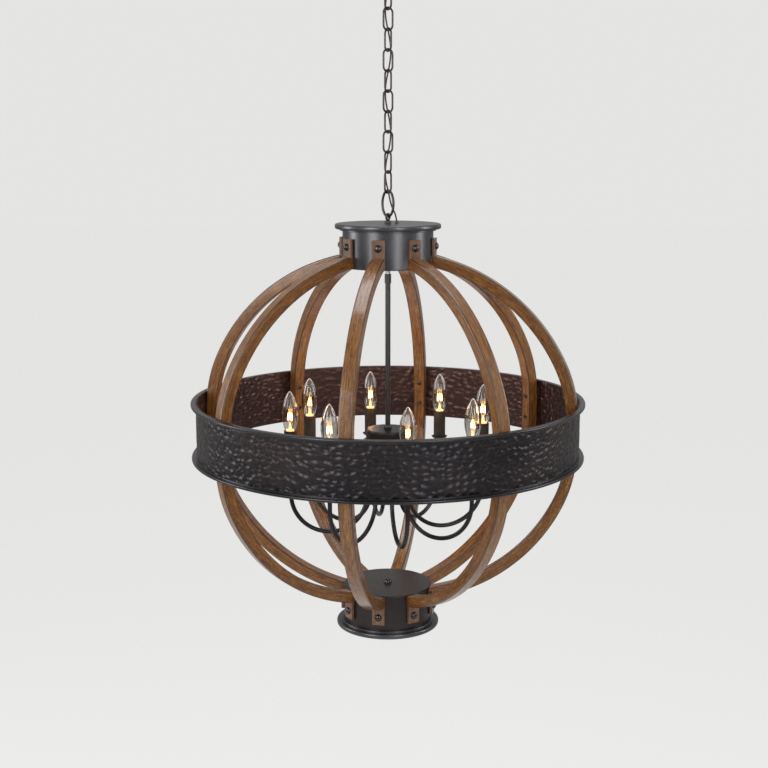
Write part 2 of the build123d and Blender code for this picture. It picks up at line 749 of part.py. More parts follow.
# ---------------------------------------------------------------- lamps
# The torpedo glass is a thin shell: neck in the cap, mouth at the sleeve, belly, then the tip.
neck_z = candle_top_z - bulb_neck_drop
belly_z = candle_top_z + bulb_belly_rise
tip_z = candle_top_z + bulb_height
tip_rise = tip_z - bulb_tip_r - belly_z
upper_r = ((bulb_d / 2) ** 2 + tip_rise**2 - bulb_tip_r**2) / (bulb_d - 2 * bulb_tip_r)
upper_share = upper_r / (upper_r - bulb_tip_r)
with BuildPart() as glass_form:
    with BuildSketch(Plane.XZ):
        with BuildLine():
            Polyline((0, neck_z), (bulb_neck_d / 2, neck_z), (bulb_mouth_d / 2, candle_top_z))
            TangentArc(
                (bulb_d / 2, belly_z), (bulb_mouth_d / 2, candle_top_z), tangent=(0, -1)
            )
            upper = TangentArc(
                (bulb_d / 2, belly_z),
                (
                    bulb_d / 2 - upper_r + upper_share * (upper_r - bulb_d / 2),
                    belly_z + upper_share * tip_rise,
                ),
                tangent=(0, 1),
            )
            TangentArc(upper @ 1, (0, tip_z), tangent=upper % 1)
            Line((0, tip_z), (0, neck_z))
        make_face()
    revolve(axis=Axis.Z)
    offset(amount=-bulb_wall, openings=glass_form.faces().sort_by(Axis.Z)[0])
save_round(glass_form, "bulb_glasses")

with BuildPart() as cap_form:
    with BuildSketch(Plane.XZ):
        with BuildLine():
            Polyline(
                (0, cap_end_z),
                (cap_tip_d / 2, cap_end_z),
                (cap_d / 2 - cap_shoulder, cap_end_z + cap_tip_h),
                (cap_d / 2, cap_end_z + cap_tip_h + cap_shoulder),
                (cap_d / 2, neck_z - seat_gap),
                (0, neck_z - seat_gap),
                close=True,
            )
        make_face()
    revolve(axis=Axis.Z)
save_round(cap_form, "bulb_caps")

# A glass mount on the cap carries two lead wires, with the filament hung between them.
with BuildPart() as filament_form:
    with Locations((0, 0, neck_z)):
        Cone(
            filament_mount_d / 2,
            filament_wire,
            bulb_neck_drop + filament_mount_rise,
            align=(Align.CENTER, Align.CENTER, Align.MIN),
        )
    with BuildSketch(Plane.XZ):
        with BuildLine():
            Polyline(
                (-filament_width / 2, candle_top_z + filament_rise),
                (0, candle_top_z + filament_mount_rise - filament_wire),
                (filament_width / 2, candle_top_z + filament_rise),
                (0, candle_top_z + filament_top_rise),
                close=True,
            )
        make_face()
        offset(amount=-filament_wire, kind=Kind.INTERSECTION, mode=Mode.SUBTRACT)
    extrude(amount=filament_wire / 2, both=True)
save_round(filament_form, "bulb_filaments")

# ---------------------------------------------------------------- supply cord
# From the bushing in the canopy it winds down through the links, an eighth of a turn in each
# half link, and ends in the bushing in the top plate.  Its points are plan angle, reach, height.
weave_top_z = chain_top_z - link_pitch
ring_eye_z = (chain_end_z + ring_top_z) / 2
route_points = [
    (canopy_bushing_turn, bushing_reach, -canopy_drop - bushing_flange_h - link_play),
    (canopy_bushing_turn - 1, bushing_reach + 0.6, -canopy_drop - 17),
    (canopy_bushing_turn - 6, bushing_reach - 4, -canopy_drop - 32),
    (canopy_bushing_turn - 14, bushing_reach - 9.5, -canopy_drop - 45),
]
for i in range(2 * (link_count - 1) - 1):
    route_points.append((cord_weave_turn + 45 * i, cord_weave_r, weave_top_z - i * link_pitch / 2))
route_points += [
    (last_link_turn + 170, cord_weave_r, chain_end_z + link_span / 2),
    (last_link_turn + 225, cord_weave_r + 0.8, ring_eye_z),
    (last_link_turn + 272, cord_weave_r - 1, ring_eye_z - 16),
    (last_link_turn + 315, cord_weave_r + 3, ring_eye_z - 31),
    (hub_bushing_turn - 2, bushing_reach - 1.8, ring_eye_z - 45),
    (hub_bushing_turn, bushing_reach, hub_top_z + bushing_flange_h + 1.5 * link_play),
]
route = [
    Vector(reach * cos(radians(turn)), reach * sin(radians(turn)), z)
    for turn, reach, z in route_points
]
runs = [after - before for before, after in zip(route, route[1:])]
radii = []
for before, after in zip(runs, runs[1:]):
    turned = radians(before.get_angle(after))
    radii.append(0.45 * min(before.length, after.length) / tan(turned / 2))
print("cord runs", [round(run.length, 1) for run in runs])
print("cord radii", [round(radius, 1) for radius in radii])

with BuildPart() as supply_cord:
    with BuildLine() as cord_line:
        FilletPolyline(*route, radius=radii)
    with BuildSketch(Plane(origin=cord_line.line @ 0, z_dir=cord_line.line % 0)):
        Circle(cord_d / 2)
    sweep()
cord_length = cord_line.wire().length
print("cord length", round(cord_length, 1), "swept over section times length",
      round(supply_cord.part.volume / (cord_length * pi * cord_d**2 / 4), 4))
save(supply_cord, "supply_cord")
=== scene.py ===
# %% [markdown]
# # A globe chandelier, dressed
#
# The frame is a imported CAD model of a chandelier: eight bent wooden ribs and a hammered band
# round a cluster of eight candle lamps, all hung on a chain. This notebook gives it its looks.
# Pieces that show their facets are built again here as finer meshes in the same place, and
# every surface gets a material made of nodes.

import json
from math import asin, atan2, cos, degrees, pi, radians, sin, sqrt, tan

import bmesh
import bpy
from mathutils import Matrix, Vector


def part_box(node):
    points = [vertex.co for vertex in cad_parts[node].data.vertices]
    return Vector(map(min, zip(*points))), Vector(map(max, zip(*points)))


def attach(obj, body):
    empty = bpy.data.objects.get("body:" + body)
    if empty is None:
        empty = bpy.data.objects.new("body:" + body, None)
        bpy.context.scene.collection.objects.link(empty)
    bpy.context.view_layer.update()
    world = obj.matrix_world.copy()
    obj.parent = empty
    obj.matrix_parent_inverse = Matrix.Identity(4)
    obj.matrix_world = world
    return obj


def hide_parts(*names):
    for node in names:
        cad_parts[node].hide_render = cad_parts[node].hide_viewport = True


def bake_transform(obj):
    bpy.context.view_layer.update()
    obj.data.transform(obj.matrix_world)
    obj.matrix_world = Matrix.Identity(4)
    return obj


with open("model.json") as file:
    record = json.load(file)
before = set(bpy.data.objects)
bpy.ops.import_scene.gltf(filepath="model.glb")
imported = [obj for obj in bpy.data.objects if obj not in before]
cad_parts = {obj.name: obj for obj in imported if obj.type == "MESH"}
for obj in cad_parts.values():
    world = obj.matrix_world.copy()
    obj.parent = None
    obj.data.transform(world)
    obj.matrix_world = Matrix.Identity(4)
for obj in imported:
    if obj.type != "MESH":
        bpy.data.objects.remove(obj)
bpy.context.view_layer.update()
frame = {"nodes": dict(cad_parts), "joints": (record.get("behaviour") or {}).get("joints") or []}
nodes = frame["nodes"]
joints = {joint["name"]: Vector(joint["pos_m"]) for joint in frame["joints"]}

# %% [markdown]
# ## Camera
#
# The photograph looks slightly down at the band from in front of it. Its distance, height and
# tilt came from fitting the two rims of the band, which are circles of known size. The camera
# stands a little left of the chain, so that the rod falls right of the middle as it does there.

# %% Set the camera
band_low, band_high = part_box("band")
band_z = (band_low.z + band_high.z) / 2
focal_px = 1310
frame_px = 768
camera_distance = 2.508
camera_rise = 0.540
camera_side = -0.0075
camera_tilt = 10.34

camera = bpy.data.objects.new("camera", bpy.data.cameras.new("camera"))
camera.data.sensor_width = 36
camera.data.lens = focal_px / frame_px * camera.data.sensor_width
camera.location = (camera_side, -camera_distance, band_z + camera_rise)
camera.rotation_euler = (radians(90 - camera_tilt), 0, 0)
bpy.context.scene.collection.objects.link(camera)
bpy.context.scene.camera = camera
bpy.context.scene.view_settings.view_transform = "Standard"
print("lens", round(camera.data.lens, 1), "mm, band at", round(band_z, 4))

# %% [markdown]
# ## Arithmetic on sockets
#
# Node trees read badly as lists of links. This class wraps one output socket and overloads the
# operators, so `1 - mask * 0.5` adds its Math nodes by itself. Every other node comes from one
# function, which sets the node's own settings first and then its sockets.


# %% Wrap a socket
class Value:
    """An output socket of a node tree that ordinary arithmetic works on."""

    def __init__(self, tree, socket):
        self.tree = tree
        self.socket = socket

    def math(self, operation, *others):
        return add_node(self.tree, "ShaderNodeMath", {"operation": operation}, self, *others)

    def vector(self, operation, *others, **named):
        return add_node(self.tree, "ShaderNodeVectorMath", {"operation": operation}, self, *others, **named)

    def __add__(self, other):
        return self.math("ADD", other)

    def __sub__(self, other):
        return self.math("SUBTRACT", other)

    def __rsub__(self, other):
        return add_node(self.tree, "ShaderNodeMath", {"operation": "SUBTRACT"}, other, self)

    def __mul__(self, other):
        return self.math("MULTIPLY", other)

    def __truediv__(self, other):
        return self.math("DIVIDE", other)

    def __gt__(self, other):
        return self.math("GREATER_THAN", other)

    __radd__ = __add__
    __rmul__ = __mul__


def put(tree, socket, value):
    """Link a value into a socket, or set a constant on it."""
    if isinstance(value, Value):
        tree.links.new(value.socket, socket)
    elif socket.type == "RGBA" and len(value) == 3:
        socket.default_value = (*value, 1)
    else:
        socket.default_value = value


def add_node(tree, kind, settings=None, *values, out=0, **named):
    """Add a node: its settings, then its sockets by place or by name (Name_With_Spaces)."""
    node = tree.nodes.new(kind)
    for name, setting in (settings or {}).items():
        setattr(node, name, setting)
    for socket, value in zip(node.inputs, values):
        put(tree, socket, value)
    for name, value in named.items():
        put(tree, node.inputs[name.replace("_", " ")], value)
    return Value(tree, node.outputs[out])


print("sockets add, subtract, multiply, divide and compare")


# %% Start a material
class Paint:
    """A material with one Principled shader, and short names for the nodes that vary it."""

    def __init__(self, name, metallic=0.0, roughness=0.5):
        self.material = bpy.data.materials.new(name)
        self.material.use_nodes = True
        self.tree = self.material.node_tree
        self.tree.nodes.clear()
        self.shader = self.tree.nodes.new("ShaderNodeBsdfPrincipled")
        self.output = self.tree.nodes.new("ShaderNodeOutputMaterial")
        self.tree.links.new(self.shader.outputs[0], self.output.inputs["Surface"])
        self.set(Metallic=metallic, Roughness=roughness)

    def set(self, **sockets):
        for name, value in sockets.items():
            put(self.tree, self.shader.inputs[name.replace("_", " ")], value)

    def node(self, kind, settings=None, *values, out=0, **named):
        return add_node(self.tree, kind, settings, *values, out=out, **named)

    def place(self, attribute=None):
        """Object coordinates, or a place that the mesh carries."""
        if attribute:
            return self.node("ShaderNodeAttribute", {"attribute_name": attribute}, out=1)
        return self.node("ShaderNodeTexCoord", out=3)

    def number(self, attribute):
        """A number that the mesh carries at each point."""
        return self.node("ShaderNodeAttribute", {"attribute_name": attribute}, out=2)

    def noise(self, point, scale, detail=4.0, rough=0.55):
        return self.node(
            "ShaderNodeTexNoise", None, Vector=point, Scale=scale, Detail=detail, Roughness=rough
        )

    def spread(self, value, low, high, to_low=0.0, to_high=1.0):
        """Stretch the range low to high out to another, and hold the ends."""
        return self.node("ShaderNodeMapRange", {"clamp": True}, value, low, high, to_low, to_high)

    def ramp(self, value, *stops):
        """Colours for a value, from three stops."""
        colour = self.node("ShaderNodeValToRGB", None, value)
        elements = colour.socket.node.color_ramp.elements
        elements.new(0.5)
        for i, (place, tint) in enumerate(stops):
            elements[i].position = place
            elements[i].color = (*tint, 1)
        return colour

    def mix(self, share, first, second):
        """Mix two colours. They are the seventh and eighth input, and the third output."""
        mixed = self.node("ShaderNodeMix", {"data_type": "RGBA"}, share, out=2)
        put(self.tree, mixed.socket.node.inputs[6], first)
        put(self.tree, mixed.socket.node.inputs[7], second)
        return mixed

    def relief(self, height, depth):
        """Bump the surface by a height from 0 to 1, which stands for depth in metres."""
        self.set(Normal=self.node("ShaderNodeBump", None, Distance=depth, Height=height))


print("materials start from one shader")

# %% [markdown]
# ## Floor, sky and lamps
#
# The photograph's backdrop is left out on purpose: a plain pale floor and sky show the dark
# metal best. Rays that the camera, gloss and glass send out see that pale sky, while the light
# that falls on the object is weaker, so its colours come out about as they are written.

# %% Make the floor and the sky
floor_z = band_z - 1.45
floor_reach = 30
pale = (0.86, 0.86, 0.85)
paper_share, paper_glow = 0.84, 1.02
sky_light, sky_in_gloss, sky_seen = 0.30, 0.2, 0.905

corners = [(x * floor_reach, y * floor_reach, floor_z) for x, y in ((-1, -1), (1, -1), (1, 1), (-1, 1))]
floor_mesh = bpy.data.meshes.new("floor")
floor_mesh.from_pydata(corners, [], [(0, 1, 2, 3)])
floor = bpy.data.objects.new("floor", floor_mesh)
bpy.context.scene.collection.objects.link(floor)

floor_paint = Paint("floor paper", roughness=0.9)
floor_paint.set(Base_Color=pale, Specular_IOR_Level=0.1)
seen = floor_paint.node("ShaderNodeLightPath", out=0)
glow = floor_paint.node("ShaderNodeEmission", None, pale, paper_glow)
lit = Value(floor_paint.tree, floor_paint.shader.outputs[0])
floor_look = floor_paint.node("ShaderNodeMixShader", None, seen * paper_share, lit, glow)
floor_paint.tree.links.new(floor_look.socket, floor_paint.output.inputs["Surface"])
floor.data.materials.append(floor_paint.material)

world = bpy.data.worlds.new("sky")
bpy.context.scene.world = world
world.use_nodes = True
sky = world.node_tree
sky.nodes.clear()
by_camera, by_gloss, by_glass = (add_node(sky, "ShaderNodeLightPath", out=out) for out in (0, 3, 6))
bright = sky_light + sky_in_gloss * by_gloss + (sky_seen - sky_light) * by_camera.math("MAXIMUM", by_glass)
background = add_node(sky, "ShaderNodeBackground", None, pale, bright)
sky_out = sky.nodes.new("ShaderNodeOutputWorld")
sky.links.new(background.socket, sky_out.inputs["Surface"])
print("floor", round(band_z - floor_z, 2), "m under the band")

# %% Hang the lamps
# Each row gives a place from the band's middle, a size in metres and a power in watts.
for name, place, size, power in (
    ("left front", (-1.75, -2.3, 0.9), (1.0, 2.0), 36),
    ("right front", (1.3, -2.9, 0.7), (0.8, 2.0), 24),
    ("left side", (-2.9, 0.3, 0.7), (0.9, 2.0), 32),
    ("right side", (2.8, -0.1, 0.9), (0.7, 1.8), 26),
    ("top", (0.2, 0.4, 2.6), (1.6, 1.6), 34),
):
    lamp = bpy.data.lights.new(name, "AREA")
    lamp.shape = "RECTANGLE"
    lamp.size, lamp.size_y = size
    lamp.energy = power
    obj = bpy.data.objects.new(name, lamp)
    obj.location = Vector(place) + Vector((0, 0, band_z))
    obj.rotation_euler = (-Vector(place)).to_track_quat("-Z", "Y").to_euler()
    bpy.context.scene.collection.objects.link(obj)
print("five soft lamps face the band")

# %% [markdown]
# ## Ways to make a mesh
#
# Most of this fixture is turned, spun or bent from rod, so three helpers cover it: `eased`
# rounds the corners of an outline, `turned` spins an outline about the axis, and `tube` lays a
# round rod along points, with a UV map. A fourth, `bridge`, makes the faces for all of them.

# %% Make a plain object
def new_object(name, mesh, material=None):
    obj = bpy.data.objects.new(name, mesh)
    bpy.context.scene.collection.objects.link(obj)
    if material:
        obj.data.materials.clear()
        obj.data.materials.append(material)
    return obj


def finish_mesh(work, name, sharp=40):
    """Turn the faces outwards, shade them smooth and keep the edges sharper than this angle."""
    bmesh.ops.recalc_face_normals(work, faces=work.faces)
    mesh = bpy.data.meshes.new(name)
    work.to_mesh(mesh)
    work.free()
    mesh.shade_smooth()
    mesh.set_sharp_from_angle(angle=radians(sharp))
    return mesh


print("objects stand at the origin, with their place in the mesh")


# %% Round the corners of an outline
held_edge = 0.0006


def eased(outline, radii, bits=4):
    """Replace the corners of a closed outline by arcs, with a held edge on both sides."""
    points = [Vector(point) for point in outline]
    if not isinstance(radii, (list, tuple)):
        radii = [radii] * len(points)
    result = []
    for i, (corner, radius) in enumerate(zip(points, radii)):
        before, after = points[i - 1] - corner, points[(i + 1) % len(points)] - corner
        if radius <= 0:
            result.append(corner)
            continue
        half = before.angle(after) / 2
        cut = min(radius / tan(half), 0.45 * before.length, 0.45 * after.length)
        start, end = corner + before.normalized() * cut, corner + after.normalized() * cut
        hold = min(held_edge, 0.2 * cut)
        result.append(start + before.normalized() * hold)
        for k in range(bits + 1):
            t = k / bits
            result.append(start * (1 - t) ** 2 + corner * 2 * t * (1 - t) + end * t * t)
        result.append(end + after.normalized() * hold)
    return result


print(len(eased([(0, 0), (1, 0), (1, 1), (0, 1)], 0.1)), "points in an eased square")


# %% Walk round an arc, a rectangle or an oval
def arc(centre, radius, start, end, steps):
    """Points of an arc in the (outwards, upwards) plane, from one angle to another, in degrees."""
    turns = (radians(start + (end - start) * k / steps) for k in range(steps + 1))
    return [Vector((centre[0] + radius * cos(turn), centre[1] + radius * sin(turn))) for turn in turns]


def block(x, y, far_x, far_y):
    """The four corners of a rectangle, from one corner to the far one and back."""
    return [(x, y), (far_x, y), (far_x, far_y), (x, far_y)]


def upright(points, turn=0.0):
    """Stand flat (outwards, upwards) points up at a plan angle about the axis."""
    turn = radians(turn)
    return [Vector((x * cos(turn), x * sin(turn), z)) for x, z in points]


def whole_turn(steps, first=0.0):
    """The angles of a number of equal steps round a circle."""
    return [first + 2 * pi * k / steps for k in range(steps)]


print("lines are drawn flat and stood up")


# %% Bridge rings of points
def bridge(work, rings, closed, uv=None, place=None):
    """Faces between rings of points. The UV of step k on ring i is place(k, i)."""
    layer = work.loops.layers.uv[uv] if uv else None
    for i in range(len(rings) - (not closed)):
        ring, following = rings[i], rings[(i + 1) % len(rings)]
        for k in range(len(ring)):
            m = (k + 1) % len(ring)
            corners = list(dict.fromkeys((ring[k], ring[m], following[m], following[k])))
            if len(corners) > 2:
                face = work.faces.new(corners)
                for loop, step in zip(face.loops, block(k, i, k + 1, i + 1) if uv else ()):
                    loop[layer].uv = place(*step)


print("turned, bent and rolled pieces share one way to make faces")


# %% Spin an outline
def turned(name, outline, steps=128, centre=(0, 0), sharp=40):
    """A solid of revolution from a closed outline of (radius, height) points."""
    work = bmesh.new()
    x, y = centre
    rings = []
    for radius, height in outline:
        if radius < 1e-6:
            rings.append([work.verts.new((x, y, height))] * steps)
            continue
        places = [(x + radius * cos(turn), y + radius * sin(turn), height) for turn in whole_turn(steps)]
        rings.append([work.verts.new(place) for place in places])
    bridge(work, rings, closed=True)
    return finish_mesh(work, name, sharp)


print(len(turned("test disc", [(0, 0), (1, 0), (1, 1), (0, 1)], 16).polygons), "faces in a test disc")


# %% Lay a tube
def tube(name, points, radius, sides=16, closed=False):
    """A round rod along points, with a UV map: share round it, and metres along it."""
    points = [Vector(point) for point in points]
    count = len(points)
    work = bmesh.new()
    work.loops.layers.uv.new("run")
    ahead = []
    for i in range(count):
        after = points[(i + 1) % count] if closed else points[min(i + 1, count - 1)]
        before = points[i - 1] if closed else points[max(i - 1, 0)]
        ahead.append((after - before).normalized())
    side = ahead[0].orthogonal().normalized()
    lengths, rings = [0.0], []
    for i, point in enumerate(points):
        if i:
            side = (ahead[i - 1].rotation_difference(ahead[i]) @ side).normalized()
        other = ahead[i].cross(side)
        around = (side * cos(turn) + other * sin(turn) for turn in whole_turn(sides))
        rings.append([work.verts.new(point + radius * outwards) for outwards in around])
        lengths.append(lengths[-1] + (points[(i + 1) % count] - point).length)
    bridge(work, rings, closed, "run", lambda k, i: (k / sides, lengths[i]))
    if not closed:
        work.faces.new(rings[0][::-1])
        work.faces.new(rings[-1])
    return finish_mesh(work, name, 50)


print(len(tube("test rod", [(0, 0, 0), (0, 0, 1), (0, 1, 2)], 0.1).polygons), "faces in a test rod")


def eye(name, centre_z, wire, turn, reach, rise, bends=40, sides=14):
    """A closed oval of wire, stood up at a plan angle."""
    points = [(reach * cos(t), centre_z + rise * sin(t)) for t in whole_turn(bends)]
    return tube(name, upright(points, turn), wire / 2, sides, closed=True)

# %% [markdown]
# ## Setting copies out round the rod
#
# Eight ribs, eight arms and eight lamps stand in rings, and each has its screws and nuts. One
# Geometry Nodes tree does all of it. It takes a piece that is modelled at plan angle 0, instances
# it on a row of points that share one place, and turns each copy about the axis. Each copy keeps
# its number as an attribute, which lets the wood's grain differ from rib to rib.


# %% Start and close a tree
def start_tree(name, **inputs):
    """A tree with these inputs (Name_With_Spaces) and a geometry output, and what it is given."""
    tree = bpy.data.node_groups.new(name, "GeometryNodeTree")
    for label, kind in inputs.items():
        tree.interface.new_socket(
            name=label.replace("_", " "), in_out="INPUT", socket_type="NodeSocket" + kind
        )
    tree.interface.new_socket(name="Geometry", in_out="OUTPUT", socket_type="NodeSocketGeometry")
    sockets = tree.nodes.new("NodeGroupInput").outputs
    return tree, {label: Value(tree, sockets[label.replace("_", " ")]) for label in inputs}


def mesh_of(tree, chosen):
    """The mesh of an object that the tree is given."""
    return add_node(tree, "GeometryNodeObjectInfo", {"transform_space": "ORIGINAL"}, chosen, out=4)


def copies_of(tree, chosen, points, turn):
    """Copies of an object's mesh on points, each turned about the axis."""
    turning = add_node(tree, "ShaderNodeCombineXYZ", None, 0.0, 0.0, turn)
    return add_node(
        tree, "GeometryNodeInstanceOnPoints", None,
        Points=points, Instance=mesh_of(tree, chosen), Rotation=turning,
    )


def close_tree(tree, instances, copy_number, material):
    """End a tree: number the copies, make them real and give them their material."""
    numbered = add_node(
        tree, "GeometryNodeStoreNamedAttribute", {"domain": "INSTANCE", "data_type": "FLOAT"},
        Geometry=instances, Name="copy", Value=copy_number,
    )
    real = add_node(tree, "GeometryNodeRealizeInstances", None, Geometry=numbered)
    made = add_node(tree, "GeometryNodeSetMaterial", None, Geometry=real, Material=material)
    tree.links.new(made.socket, tree.nodes.new("NodeGroupOutput").inputs[0])
    print(len(tree.nodes), "nodes", tree.name)


print("a tree starts from its named inputs")

# %% Build the tree that sets out a ring
ring_tree, given = start_tree(
    "set out in a ring", Piece="Object", Copies="Int", First_Turn="Float", Material="Material"
)
row = add_node(ring_tree, "GeometryNodeMeshLine", None, Count=given["Copies"], Offset=(0, 0, 0))
index = add_node(ring_tree, "GeometryNodeInputIndex")
turn = index / given["Copies"] * (2 * pi) + given["First_Turn"]
close_tree(ring_tree, copies_of(ring_tree, given["Piece"], row, turn), index, given["Material"])


# %% Run a tree and keep the plain mesh
def plain_mesh(obj):
    """The mesh that an object comes to, with its modifier or its spline worked out."""
    bpy.context.view_layer.update()
    return bpy.data.meshes.new_from_object(obj.evaluated_get(bpy.context.evaluated_depsgraph_get()))


def grow(name, tree, **inputs):
    """Run a tree on an empty mesh and return its result as a plain object."""
    obj = new_object(name, bpy.data.meshes.new(name))
    modifier = obj.modifiers.new("grow", "NODES")
    modifier.node_group = tree
    for item in tree.interface.items_tree:
        if item.in_out == "INPUT" and item.name.replace(" ", "_") in inputs:
            modifier[item.identifier] = inputs[item.name.replace(" ", "_")]
    mesh = plain_mesh(obj)
    obj.modifiers.clear()
    obj.data = mesh
    mesh.name = name
    return obj


def dressed(obj, body, slot, *replaced):
    """Let a piece ride on a body and stand for its CAD nodes. Its slot is not used."""
    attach(obj, body)
    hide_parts(*replaced)
    print(obj.name, len(obj.data.polygons), "faces")


def set_out(name, mesh, first_turn, material, slot, *replaced):
    """Set copies of a mesh out in a ring in the place of their CAD nodes."""
    pattern = new_object(name + " pattern", mesh)
    first_turn = radians(first_turn)
    obj = grow(name, ring_tree, Piece=pattern, Copies=copies, First_Turn=first_turn, Material=material)
    bpy.data.objects.remove(pattern)
    dressed(obj, "fixture", slot, *replaced)


def stand_in(name, mesh, material, slot, replaced, body="fixture"):
    """Put one mesh in the place of a CAD node."""
    dressed(new_object(name, mesh, material), body, slot, replaced)


def spun(name, outline, ease, steps, material, slot, replaced, bits=4, body="fixture"):
    """Spin an eased outline about the rod, in the place of a CAD node."""
    stand_in(name, turned(name, eased(outline, ease, bits), steps), material, slot, replaced, body)


copies = 8
print("pieces ride on a body and name the nodes that they stand for")

# %% [markdown]
# ## Finishes
#
# The ribs are stained wood with a fine streaky grain that runs along each bend, and darker on
# the moulded edges. The grain reads an attribute of the mesh (metres along the rib, across it and
# through it), so it follows the bow, and each rib starts somewhere else in the pattern.


# %% Stained wood
def wood(name, dark, middle, light, edge_colour):
    paint = Paint(name)
    shift = paint.node("ShaderNodeCombineXYZ", None, paint.number("copy") * copy_shift, 0.0, 0.0)
    grain = paint.place("grain").vector("ADD", shift)

    def streaks(along, across, detail=4.0):
        return paint.noise(grain.vector("MULTIPLY", (along, across, across)), 1.0, detail, 0.6)

    broad = paint.spread(streaks(7, 110), 0.25, 0.75)
    fine = paint.spread(streaks(40, 480), 0.34, 0.66)
    pores = paint.spread(streaks(120, 640, 2.0), 0.52, 0.66)
    blotch = paint.spread(paint.noise(grain, 150, 3), 0.3, 0.7)
    tone = broad * 0.35 + fine * 0.5 + blotch * 0.15
    colour = paint.ramp(tone, (0.10, dark), (0.45, middle), (0.90, light))
    colour = paint.mix(pores * 0.4, colour, dark)
    edge = paint.spread(paint.number("edge") + 0.2 * fine, 0.35, 1.0)
    paint.set(
        # the colour is darker towards the middle of each moulded edge
        Base_Color=paint.mix(edge * 0.85, colour, edge_colour),
        Roughness=paint.spread(tone - pores * 0.4, 0.0, 1.0, 0.46, 0.32),
        Specular_IOR_Level=0.35,
        Coat_Weight=0.8,
        Coat_Roughness=0.13,
    )
    paint.relief(tone * 0.4 - pores * 0.8, wood_relief)
    return paint.material


copy_shift = 3.7
wood_relief = 0.00025
rib_wood = wood(
    "rib wood", (0.038, 0.012, 0.003), (0.170, 0.062, 0.009), (0.39, 0.178, 0.030), (0.022, 0.009, 0.005)
)
tab_wood = wood(
    "tab wood", (0.075, 0.031, 0.013), (0.27, 0.122, 0.052), (0.48, 0.27, 0.14), (0.046, 0.020, 0.011)
)
print("two woods")

# %% [markdown]
# The metal is steel with a dark bronze lacquer, cloudy between brown-black and a cooler grey.
# Small noise in the roughness breaks up the highlights, as on sprayed lacquer, and a fine bump
# gives it the texture of the coat.


# %% Dark lacquered metal
def coat(name, dark, light, metallic, rough):
    """A paint, and its colour, shine and texture for a finish to set."""
    paint = Paint(name, metallic=metallic)
    here = paint.place()
    cloud = paint.spread(paint.noise(here, 8, 4), 0.32, 0.68)
    speck = paint.noise(here, 420, 2)
    tone = cloud * 0.7 + paint.spread(speck, 0.3, 0.7) * 0.3
    texture = speck + 0.6 * paint.noise(here, 130, 3)
    return paint, paint.mix(tone, dark, light), paint.spread(tone, 0.0, 1.0, *rough), texture


def lacquer(name, dark, light, metallic, rough):
    paint, colour, shine, texture = coat(name, dark, light, metallic, rough)
    paint.set(Base_Color=colour, Roughness=shine)
    paint.relief(texture, lacquer_relief)
    return paint.material


lacquer_relief = 0.00003
hub_paint = lacquer("hub lacquer", (0.072, 0.071, 0.076), (0.120, 0.118, 0.126), 0.9, (0.27, 0.36))
rod_paint = lacquer("rod lacquer", (0.050, 0.048, 0.050), (0.085, 0.082, 0.086), 0.8, (0.26, 0.36))
cap_paint = lacquer("cap lacquer", (0.040, 0.034, 0.034), (0.075, 0.064, 0.064), 0.85, (0.28, 0.38))
arm_paint = lacquer("arm lacquer", (0.024, 0.022, 0.023), (0.050, 0.046, 0.048), 0.85, (0.26, 0.36))
screw_paint = lacquer("black screws", (0.050, 0.050, 0.053), (0.090, 0.088, 0.092), 1.0, (0.20, 0.27))
chain_paint = lacquer("chain bronze", (0.040, 0.037, 0.036), (0.100, 0.092, 0.088), 0.85, (0.26, 0.38))
rim_paint = lacquer("rim lacquer", (0.034, 0.033, 0.036), (0.066, 0.063, 0.067), 0.85, (0.24, 0.34))
steel_paint = lacquer("plated steel", (0.42, 0.40, 0.36), (0.56, 0.54, 0.50), 1.0, (0.3, 0.42))
brass_paint = lacquer("lamp cap brass", (0.55, 0.38, 0.16), (0.72, 0.54, 0.27), 1.0, (0.24, 0.36))
print("nine smooth metals")

# %% [markdown]
# The band's finish works out again the cells that its mesh is hammered by, further below, and
# gives each pit a crisper edge than the mesh can. A pit on the outer skin is a bulge on the inner
# one, so the bump changes sign there. The inner skin is painted lighter and browner: painted warm
# light of the lamps inside the globe.

# %% Hammered bronze
pit_length, pit_height = 0.0135, 0.0095
pit_wander, wander_scale = 0.5, 34.0
pit_scatter, pit_seed = 0.8, 4.0
pit_edge_relief = 0.0009


def hammered(name, dark, light, inner, metallic, rough):
    paint, colour, shine, texture = coat(name, dark, light, metallic, rough)
    wall = paint.place("wall")
    drift = (paint.noise(wall, wander_scale, 1.0, 0.5) - 0.5) * pit_wander
    moved = paint.node("ShaderNodeCombineXYZ", None, drift, drift, pit_seed)
    cell = wall.vector("MULTIPLY", (1 / pit_length, 1 / pit_height, 0)).vector("ADD", moved)
    away = paint.node(
        "ShaderNodeTexVoronoi", {"feature": "F1", "voronoi_dimensions": "3D"},
        Vector=cell, Scale=1.0, Randomness=pit_scatter,
    )
    rise = paint.spread(away * away, 0.03, 0.45)
    inside = paint.number("inside")
    # the inner skin's lighter, browner colour is painted warm lamplight
    paint.set(Base_Color=paint.mix(inside, colour, inner), Roughness=shine + rise * 0.06)
    paint.relief(rise * (1 - 2 * inside) + 0.02 * texture, pit_edge_relief)
    return paint.material


# the last colour is the inner skin's, painted lighter and browner for the lamps' warm light on it
hammered_paint = hammered(
    "hammered bronze", (0.028, 0.027, 0.031), (0.056, 0.045, 0.045), (0.090, 0.052, 0.046), 0.9, (0.29, 0.37)
)
print("pits of", pit_length * 1000, "by", pit_height * 1000, "mm")


# %% Candle sleeves, sockets, cord and bushings
def plain_moulding(name, dark, light, rough, scale=90, depth=0.00008):
    """Moulded or sprayed stuff: a faint mottle and a soft grain."""
    paint = Paint(name)
    here = paint.place()
    mottle = paint.spread(paint.noise(here, scale, 4), 0.35, 0.65)
    paint.set(
        Base_Color=paint.mix(mottle, dark, light),
        Roughness=paint.spread(mottle, 0, 1, rough[0], rough[1]),
    )
    paint.relief(paint.noise(here, 6 * scale, 3), depth)
    return paint.material


